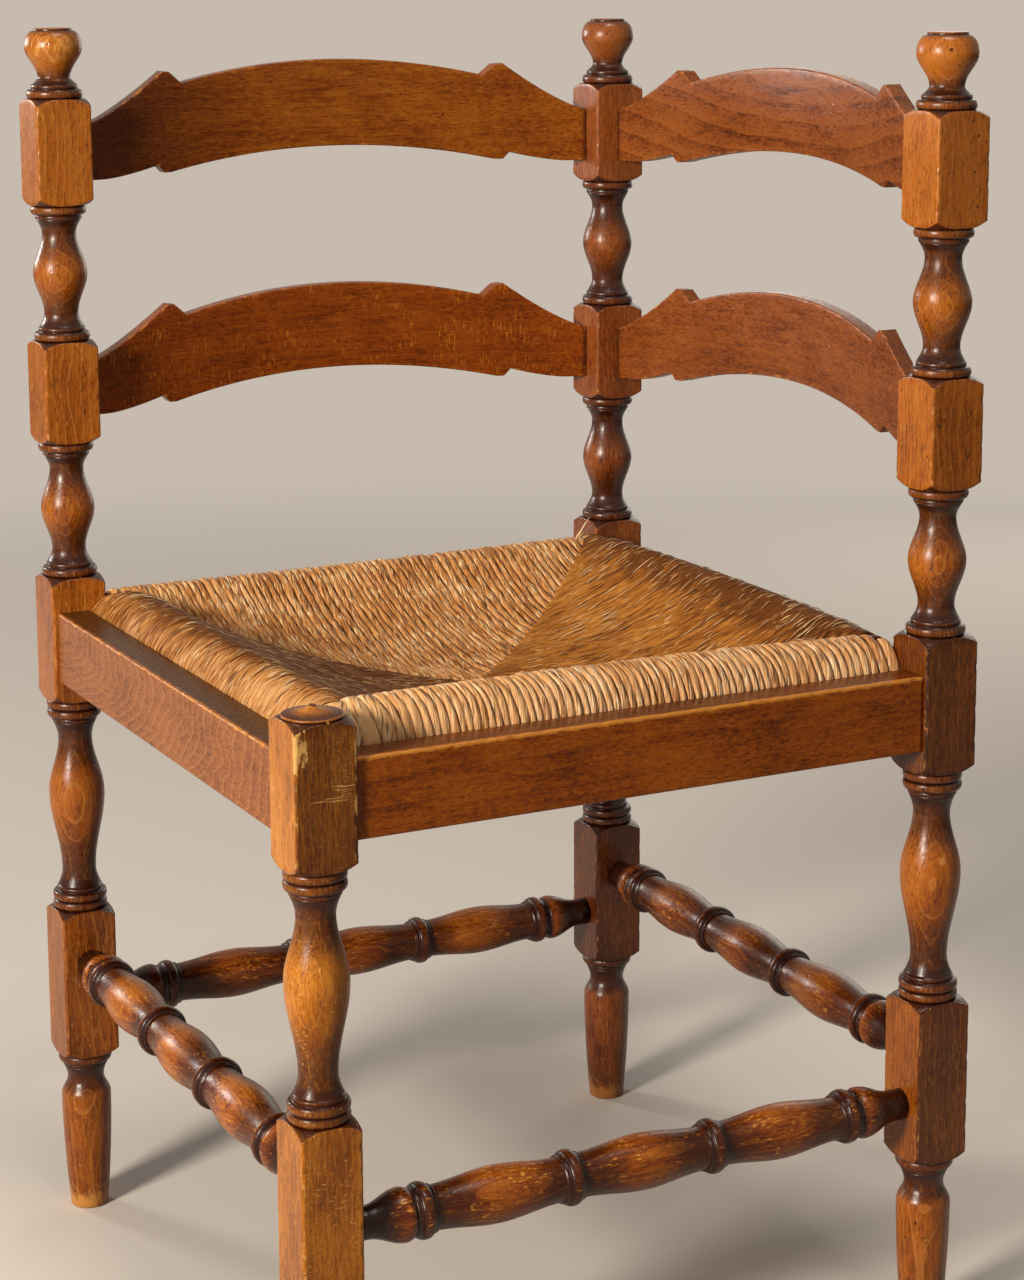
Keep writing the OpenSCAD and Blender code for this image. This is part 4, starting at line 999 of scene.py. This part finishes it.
def cordLine(reach, crest, half, dive, past):
    # Distance inward and height of a cord's middle line: out along the underside, up round the
    # seat's edge, in over the top as far as the diagonal, and down there between the other cords
    turn = rush["turn"]
    under = np.linspace(reach + 1, turn + half, 60)
    quarter = np.linspace(0, math.pi / 2, 9)[1:]
    edge = turn + half - turn * np.sin(quarter)
    edgeZ = half + turn - rush["depth"] - turn * np.cos(quarter)
    # The top's outline, moved inward along its own normal by half a cord
    inward = np.concatenate([[0, 0], np.linspace(0, 30, 50), np.linspace(31.5, rush["half"], 120)])
    top = np.concatenate([[-6, -3], rushTop(inward[2:], crest)])
    go, rise = np.gradient(inward), np.gradient(top)
    size = np.hypot(go, rise)
    inward, top = inward + half * rise / size, top - half * go / size
    end = reach + past - rush["tuck"]
    top = np.append(top[inward < end], np.interp(end, inward, top))
    inward = np.append(inward[inward < end], end)
    top = top - dive * ramp(inward, end - 14, end)
    angle = np.linspace(0, 1.45, 6)[1:]
    tuck = end + rush["tuck"] * np.sin(angle)
    tuckZ = top[-1] - rush["tuck"] * (1 - np.cos(angle))
    distance = np.concatenate([under, edge, inward, tuck, [tuck[-1] + 0.3]])
    height = np.concatenate([rushUnder(under) + half, edgeZ, top, tuckZ, [tuckZ[-1] - rush["tail"]]])
    # Rings lie closer where the line turns
    leg = np.hypot(np.diff(distance), np.diff(height))
    turned = np.abs(np.diff(np.unwrap(np.arctan2(np.diff(height), np.diff(distance)))))
    bend = np.concatenate([[0], turned / np.maximum(leg[1:], 0.2), [0]])
    step = np.where(bend > 0.03, rush["fineStep"], rush["step"])
    need = np.concatenate([[0], np.cumsum(leg * 2 / (step[1:] + step[:-1]))])
    run = np.concatenate([[0], np.cumsum(leg)])
    at = np.linspace(0, need[-1], int(need[-1]) + 2)
    return np.interp(at, need, distance), np.interp(at, need, height), np.interp(at, need, run)


def cordRings(x, inward, height, wide, tall, run, twist):
    # Rings of one cord: a flattened round, wide across the side and tall along the line's own
    # normal, whose radius swells three times a turn as the strand twists along it
    cos, sin = np.cos(cordAngle), np.sin(cordAngle)
    y = inward - rush["half"]
    rise, go = np.gradient(height), np.gradient(y)
    size = np.hypot(rise, go)
    normalY, normalZ = -rise / size, go / size
    swell = 1 + rush["lobe"] * np.cos(3 * cordAngle - (run / twist)[:, None] * 2 * math.pi)
    across = wide[:, None] * sin * swell
    out = -tall * np.sign(cos) * np.abs(cos) ** 0.85 * swell
    return np.stack([x[:, None] + across, y[:, None] + normalY[:, None] * out,
                     rush["railTop"] + height[:, None] + normalZ[:, None] * out], -1)


def joinPieces(parts):
    # Joins lists of points, quads, ends, uv and layers into one mesh
    points, quads, ends, uvs, layers = [], [], [], [], {}
    start = 0
    for partPoints, partQuads, partEnds, partUv, partLayers in parts:
        points.append(partPoints)
        quads.append(partQuads + start)
        ends.extend(end + start for end in partEnds)
        uvs.append(partUv)
        for key, values in partLayers.items():
            layers.setdefault(key, []).append(values)
        start += len(partPoints)
    return (np.concatenate(points), np.concatenate(quads), ends, np.concatenate(uvs),
            {key: np.concatenate(values) for key, values in layers.items()})


def tubeUv(run, around, girth, startU, startV, lay=0):
    # One pair for each corner of the quads that loft makes: metres along, and metres round, which
    # gains the share lay of the length as the leaves wind round the cord
    i, j = np.meshgrid(np.arange(len(run) - 1), np.arange(around), indexing="ij")
    u = (run * mm + startU)[np.stack([i, i + 1, i + 1, i], -1)]
    v = np.stack([j, j, j + 1, j + 1], -1) / around * girth * mm + startV + lay * u
    return np.stack([u, v], -1).reshape(-1, 4, 2)


def rushPanel(side, sideName, material):
    # The cords of one side, next to each other. Each one's share of the width, height, sway and tone
    # are drawn at random, and it ends on the diagonal
    look, half = rushSides[sideName], rush["half"]
    dice = np.random.default_rng(40 + side)
    span = half - rush["cornerNotch"]
    shares = dice.uniform(0.74, 1.26, rush["cords"])
    shares[:4] *= rush["firstRight" if side == 0 else "first"]
    shares[-2:] *= rush["last"]
    shares *= 2 * span / shares.sum()
    places = np.cumsum(shares) - shares / 2 - span
    parts = []
    for index, (place, share) in enumerate(zip(places, shares)):
        end, diagonal = 0 if place < 0 else 1, half - abs(place)
        tall = look["tall"] * dice.uniform(0.84, 1.12)
        dive, past = look["dive"][end], look["past"][end] + dice.uniform(-0.7, 0.7)
        inward, height, run = cordLine(diagonal, crestHeight(look, place), tall, dive, past)
        height = height + look["ragged"] * wander(run, 21, 7000 * side + index) * ramp(inward, 2, 12)
        sway = 1.1 * np.sin(place / 21 + inward / 33 + side) + 0.3 * wander(run, 14, 9000 * side + index)
        x = place + (sway - look["lean"]) * ramp(inward, 2, 24) * ramp(diagonal - inward, -3, 24)
        wide = share * look["wide"] * (1 + 0.08 * wander(run, 11, 5000 * side + index))
        rings = cordRings(x, inward, height, wide, tall, run, dice.uniform(26, 40))
        rings[:, :, 0] = rings[:, :, 0].clip(-span, span)   # pressed flat beside the posts
        points, quads, ends = loft(rings)
        # Painted shade between the cords, widest on the roll's outer face
        opening = 0.1 - 0.4 * ramp(inward, 6, 20)[:, None]
        gapShade = 1 - ramp(-np.cos(cordAngle), opening - 0.05, opening + 0.6)
        # Paler towards the front corner, and darker inward with painted shade where the side's look says
        # so, or lighter with painted light where its value is below zero
        paler = abs(look["paler"]) * ramp(place * np.sign(look["paler"]), -20, span)
        darkest, darkFrom, darkTo = look["paintedShading"]
        paintedShading = darkest * ramp((inward - darkFrom) / (darkTo - darkFrom), 0, 1)[:, None]
        shade = np.repeat(look["shade"] * dice.uniform(-1, 1) + paler - paintedShading, rush["around"], 1)
        # Painted shadow where the cords dive down by the diagonal
        if dive > 0:
            gapShade = np.maximum(gapShade, 0.8 * ramp(inward - diagonal, -9, 0)[:, None])
        uv = tubeUv(run, rush["around"], 16, dice.uniform(0, 3), index * 0.021, rush["lay"])
        parts.append((points, quads, ends, uv, {"gapShade": gapShade.ravel(), "cordShade": shade.ravel()}))
    points, quads, ends, uv, layers = joinPieces(parts)
    addPiece("rush_cords_" + sideName, onSide(points, side), quads, ends, layers, material, "seat",
             ["rush_seat"], uv)


def rushPacking(material):
    # Straw packed between the two layers of cords: square rings with their corners cut, out along the
    # underside and back under the top, a little inside both
    inset, around, half = 4.6, 96, rush["half"]
    under = half - (half - 9) * np.linspace(0.004, 1, 34) ** 0.8
    back = np.linspace(14, half - 0.6, 40)
    inward = np.concatenate([under, [6.2, 4.9, 4.9, 6, 8.5], back])[:, None]
    edgeZ = [6 - rush["depth"], 9 - rush["depth"], -4, 1, 5]
    height = np.concatenate([rushUnder(under) + inset, edgeZ, rushTop(back, 15) - inset])[:, None]
    angle = (np.arange(around) + 0.5) / around * 2 * math.pi
    cos, sin = np.cos(angle), np.sin(angle)
    square = (half - inward) / np.maximum(np.abs(cos), np.abs(sin))
    cut = (2 * (half - rush["cornerNotch"]) - 6) / (np.abs(cos) + np.abs(sin))
    radius = np.minimum(square, cut)
    rings = np.stack([radius * cos, radius * sin, rush["railTop"] + height + 0 * radius], -1)
    points, quads, ends = loft(rings)
    uv = tubeUv(np.linspace(0, 400, len(rings)), around, 1500, 0, 0)
    # Painted shade over the whole packing, which lies deep inside the seat
    addPiece("rush_packing", onSide(points, 0), quads, ends, {"gapShade": np.full(len(points), 0.8)}, material,
             "seat", ["rush_seat"], uv)


def strawPart(rings, run, shade, startU, startV):
    # One straw as joinPieces takes it, with its faces outwards
    points, quads, ends = loft(rings)
    if facesInwards(points, quads):
        quads, ends = quads[:, ::-1], [end[::-1] for end in ends]
    layers = {"gapShade": np.zeros(len(points)), "cordShade": np.full(len(points), shade)}
    return points, quads, ends, tubeUv(run, rings.shape[1], 5, startU, startV), layers


def looseStraws(material):
    # Split straws that lift a little from the cords: flat tubes that lie along the rush and taper by
    # a sine, and three broken ends that stand up by the back post
    dice = np.random.default_rng(77)
    steps, around = 9, 6
    angle = np.arange(around) / around * 2 * math.pi
    cos, sin, rise = np.cos(angle), np.sin(angle), np.linspace(0, 1, steps)
    parts = []
    for index in range(rush["looseStraws"]):
        side = dice.choice([0, 1, 1, 1, 1, 2, 2, 3, 3])
        length = dice.uniform(5, 11) + 12 * dice.uniform(0, 1) ** 4
        place = dice.uniform(-150, 150)
        room = rush["half"] - abs(place) - 14
        if room < 24:
            continue
        start = dice.uniform(4, room - 12)
        run = np.linspace(0, min(length, room - start), steps)
        inward = start + run
        lift = 0.35 + dice.uniform(0, 0.8) * np.sin(math.pi * rise)
        x = place + dice.uniform(-0.06, 0.06) * run + 0.4 * wander(run, 20, 300 + index)
        top = rushTop(inward, crestHeight(rushSides[sides[side]], place))
        taper = np.sin(np.linspace(0.12, math.pi - 0.12, steps)) ** 0.6
        wide, tall = dice.uniform(0.3, 0.55) * taper, 0.25 * taper
        tube = np.stack([x[:, None] + wide[:, None] * sin, (inward - rush["half"])[:, None] + 0 * sin,
                         rush["railTop"] + (top + lift)[:, None] + tall[:, None] * cos], -1)
        shade, startU = dice.uniform(0.1, 0.9), dice.uniform(0, 3)
        parts.append(strawPart(onSide(tube, side), run, shade, startU, 0.01 * index))
    thin = 0.75 * np.sin(np.linspace(0.7, math.pi - 0.1, steps))[:, None] ** 0.7
    for x, y, leanX, leanY, height in rush["brokenEnds"]:
        tube = np.stack([(x + leanX * rise ** 1.6)[:, None] + thin * sin,
                         (y + leanY * rise)[:, None] + thin * cos,
                         (rush["railTop"] + 12 + height * rise)[:, None] + 0 * sin], -1)
        parts.append(strawPart(tube, rise * height, 0.5, x, 0))
    points, quads, ends, uv, layers = joinPieces(parts)
    addPiece("loose_straws", points, quads, ends, layers, material, "seat", ["rush_seat"], uv)


# How large each pattern of the rush is, in mm along the cord and round it, with its noise's detail
# and roughness. The fibres are drawn coarser than real ones, which are too fine to show
rushGrain = {
    "fibre": (15, 0.95, 3, 0.6),
    "leaf": (32, 2.6, 2, 0.5),
    "bleached": (11, 1.0, 2, 0.5),
    "split": (15, 0.9, 1, 0.5),
}

# The back right and front left sides take darker colours, partly their own worn rush and partly painted shade
# where they turn from the key lamp
rushLooks = {
    "front_right": {"deep": "#3a1d08", "dark": "#a56a33", "mid": "#df9f60", "light": "#f0bb80",
                    "pale": "#fbe4ba", "paleFrom": 0.58, "fibre": 1.2, "gloss": 0.3, "gaps": 0.84},
    "back_right": {"deep": "#3a1f0a", "dark": "#693910", "mid": "#aa6822", "light": "#c38236",
                   "pale": "#e6be80", "paleFrom": 0.65, "fibre": 1.2, "gloss": 0.14, "gaps": 0.7},
    "back_left": {"deep": "#351b08", "dark": "#955b29", "mid": "#d08d4b", "light": "#e4a866",
                  "pale": "#f6daa8", "paleFrom": 0.58, "fibre": 1.2, "gloss": 0.3, "gaps": 0.86},
    "front_left": {"deep": "#2c1606", "dark": "#733f12", "mid": "#ad6e2e", "light": "#d0965a",
                   "pale": "#ecc892", "paleFrom": 0.61, "fibre": 1.2, "gloss": 0.12, "gaps": 0.85},
    # The packing's dark colours are partly painted shade, as it lies deep inside the seat
    "packing": {"deep": "#1e1006", "dark": "#3a210d", "mid": "#583514", "light": "#6d451d",
                "pale": "#8f6535", "paleFrom": 0.75, "fibre": 0.6, "gloss": 0.1, "gaps": 0.9},
}


def twistedRush(name, look):
    # Dry rush leaves twisted into cord: long glossy fibres along the cord, a few bleached ones much
    # paler, a different tone for each cord with each side's painted shade and light laid into it, and
    # painted shade between the cords
    material, tree = newMaterial(name)
    place = addNode(tree, "ShaderNodeTexCoord")
    noise = addPatterns(tree, place.outputs["UV"],
                        {key: ((1000 / along, 1000 / around, 1), detail, rough)
                         for key, (along, around, detail, rough) in rushGrain.items()})
    # Faded and darkened patches about 30 mm across
    patch = addNode(tree, "ShaderNodeTexNoise", {"Vector": place.outputs["Object"], "Scale": 1000 / 30,
                                                 "Detail": 2}).outputs[0]
    gapShade, cordShade = (addNode(tree, "ShaderNodeAttribute", attribute_name=key).outputs["Fac"]
                      for key in ("gapShade", "cordShade"))
    straw = addTone(tree, [(cordShade, 0.3)],
                    [(noise["fibre"], 2.0 * look["fibre"]), (noise["leaf"], 1.3), (patch, 0.7)], look)
    bleached = addShares(tree, noise["bleached"], [(patch, 0.3)])
    colour = addLayers(tree, straw, [
        (bleached, look["paleFrom"] + 0.13, look["paleFrom"] + 0.2, 0.95, None, look["pale"]),
        (noise["split"], 0.575, 0.64, 0.75, None, look["deep"]),
        # Painted shade between the cords
        (gapShade, 0, 1, look["gaps"], None, look["deep"]),
    ])
    height = addShares(tree, noise["leaf"], [(noise["fibre"], 1.1)])
    relief = addNode(tree, "ShaderNodeBump", {"Height": height, "Strength": 0.9, "Distance": mm})
    roughness = addNode(tree, "ShaderNodeMapRange", {"Value": noise["fibre"], "To Min": 0.62, "To Max": 0.42})
    cord = addNode(tree, "ShaderNodeBsdfPrincipled",
                   {"Base Color": colour, "Roughness": roughness.outputs[0], "IOR": 1.45,
                    "Specular IOR Level": look["gloss"], "Normal": relief.outputs[0]})
    addNode(tree, "ShaderNodeOutputMaterial", {"Surface": cord.outputs[0]})
    return material


for side, sideName in enumerate(sides):
    rushPanel(side, sideName, twistedRush("rush_cord_" + sideName, rushLooks[sideName]))
rushPacking(twistedRush("straw_packing", rushLooks["packing"]))
looseStraws(twistedRush("loose_rush_straw", {**rushLooks["front_right"], "paleFrom": 0.5}))
print("seat woven")


# pieces inside, kept from the frame

# Beech that was never stained, waxed or turned: pale, plain and dull
rawBeech = {"dark": "#a87b4c", "mid": "#c79c69", "light": "#dcb98a", "fleck": "#e3c69c", "hollow": "#7b5230",
            "worn": "#dcb98a", "line": "#d8b482", "ring": 0.2, "lines": 0.4, "fleckAmount": 0.4,
            "ringSpacing": 4.0, "scuffs": 0, "rise": 0, "gloss": 0.2}


def screwSteel(name):
    # Plain steel screws, dull and a little brown from age
    material, tree = newMaterial(name)
    place = addNode(tree, "ShaderNodeTexCoord")
    spots = addNode(tree, "ShaderNodeTexNoise", {"Vector": place.outputs["Object"], "Scale": 400, "Detail": 3})
    colour = addNode(tree, "ShaderNodeMix", {0: spots.outputs[0], 6: linear("#8d8a84"), 7: linear("#6f5a48")},
                     data_type="RGBA")
    roughness = addNode(tree, "ShaderNodeMapRange", {"Value": spots.outputs[0], "To Min": 0.35, "To Max": 0.6})
    steel = addNode(tree, "ShaderNodeBsdfPrincipled",
                    {"Base Color": colour.outputs[2], "Metallic": 1, "Roughness": roughness.outputs[0]})
    addNode(tree, "ShaderNodeOutputMaterial", {"Surface": steel.outputs[0]})
    return material


def finishNode(node, material):
    # Gives a CAD node one material in every slot
    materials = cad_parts[node].data.materials
    if len(materials) == 0:
        materials.append(material)
    for index in range(len(materials)):
        materials[index] = material


for side, sideName in enumerate(sides):
    wood = beechAlong(side, "raw_beech_frame_" + sideName, rawBeech, -rush["half"], rush["railTop"],
                      (40, 30, 0))
    finishNode("seat_frame_rail_" + sideName, wood)
blockWood = stainedBeech("raw_beech_blocks", rawBeech, (0, 0, rush["railTop"]), (0, math.radians(90), 0),
                         (30, 60, 0))
for cornerName in postAxes:
    finishNode("corner_block_" + cornerName, blockWood)
finishNode("corner_block_screws", screwSteel("dull_screw_steel"))
print("inner pieces finished")
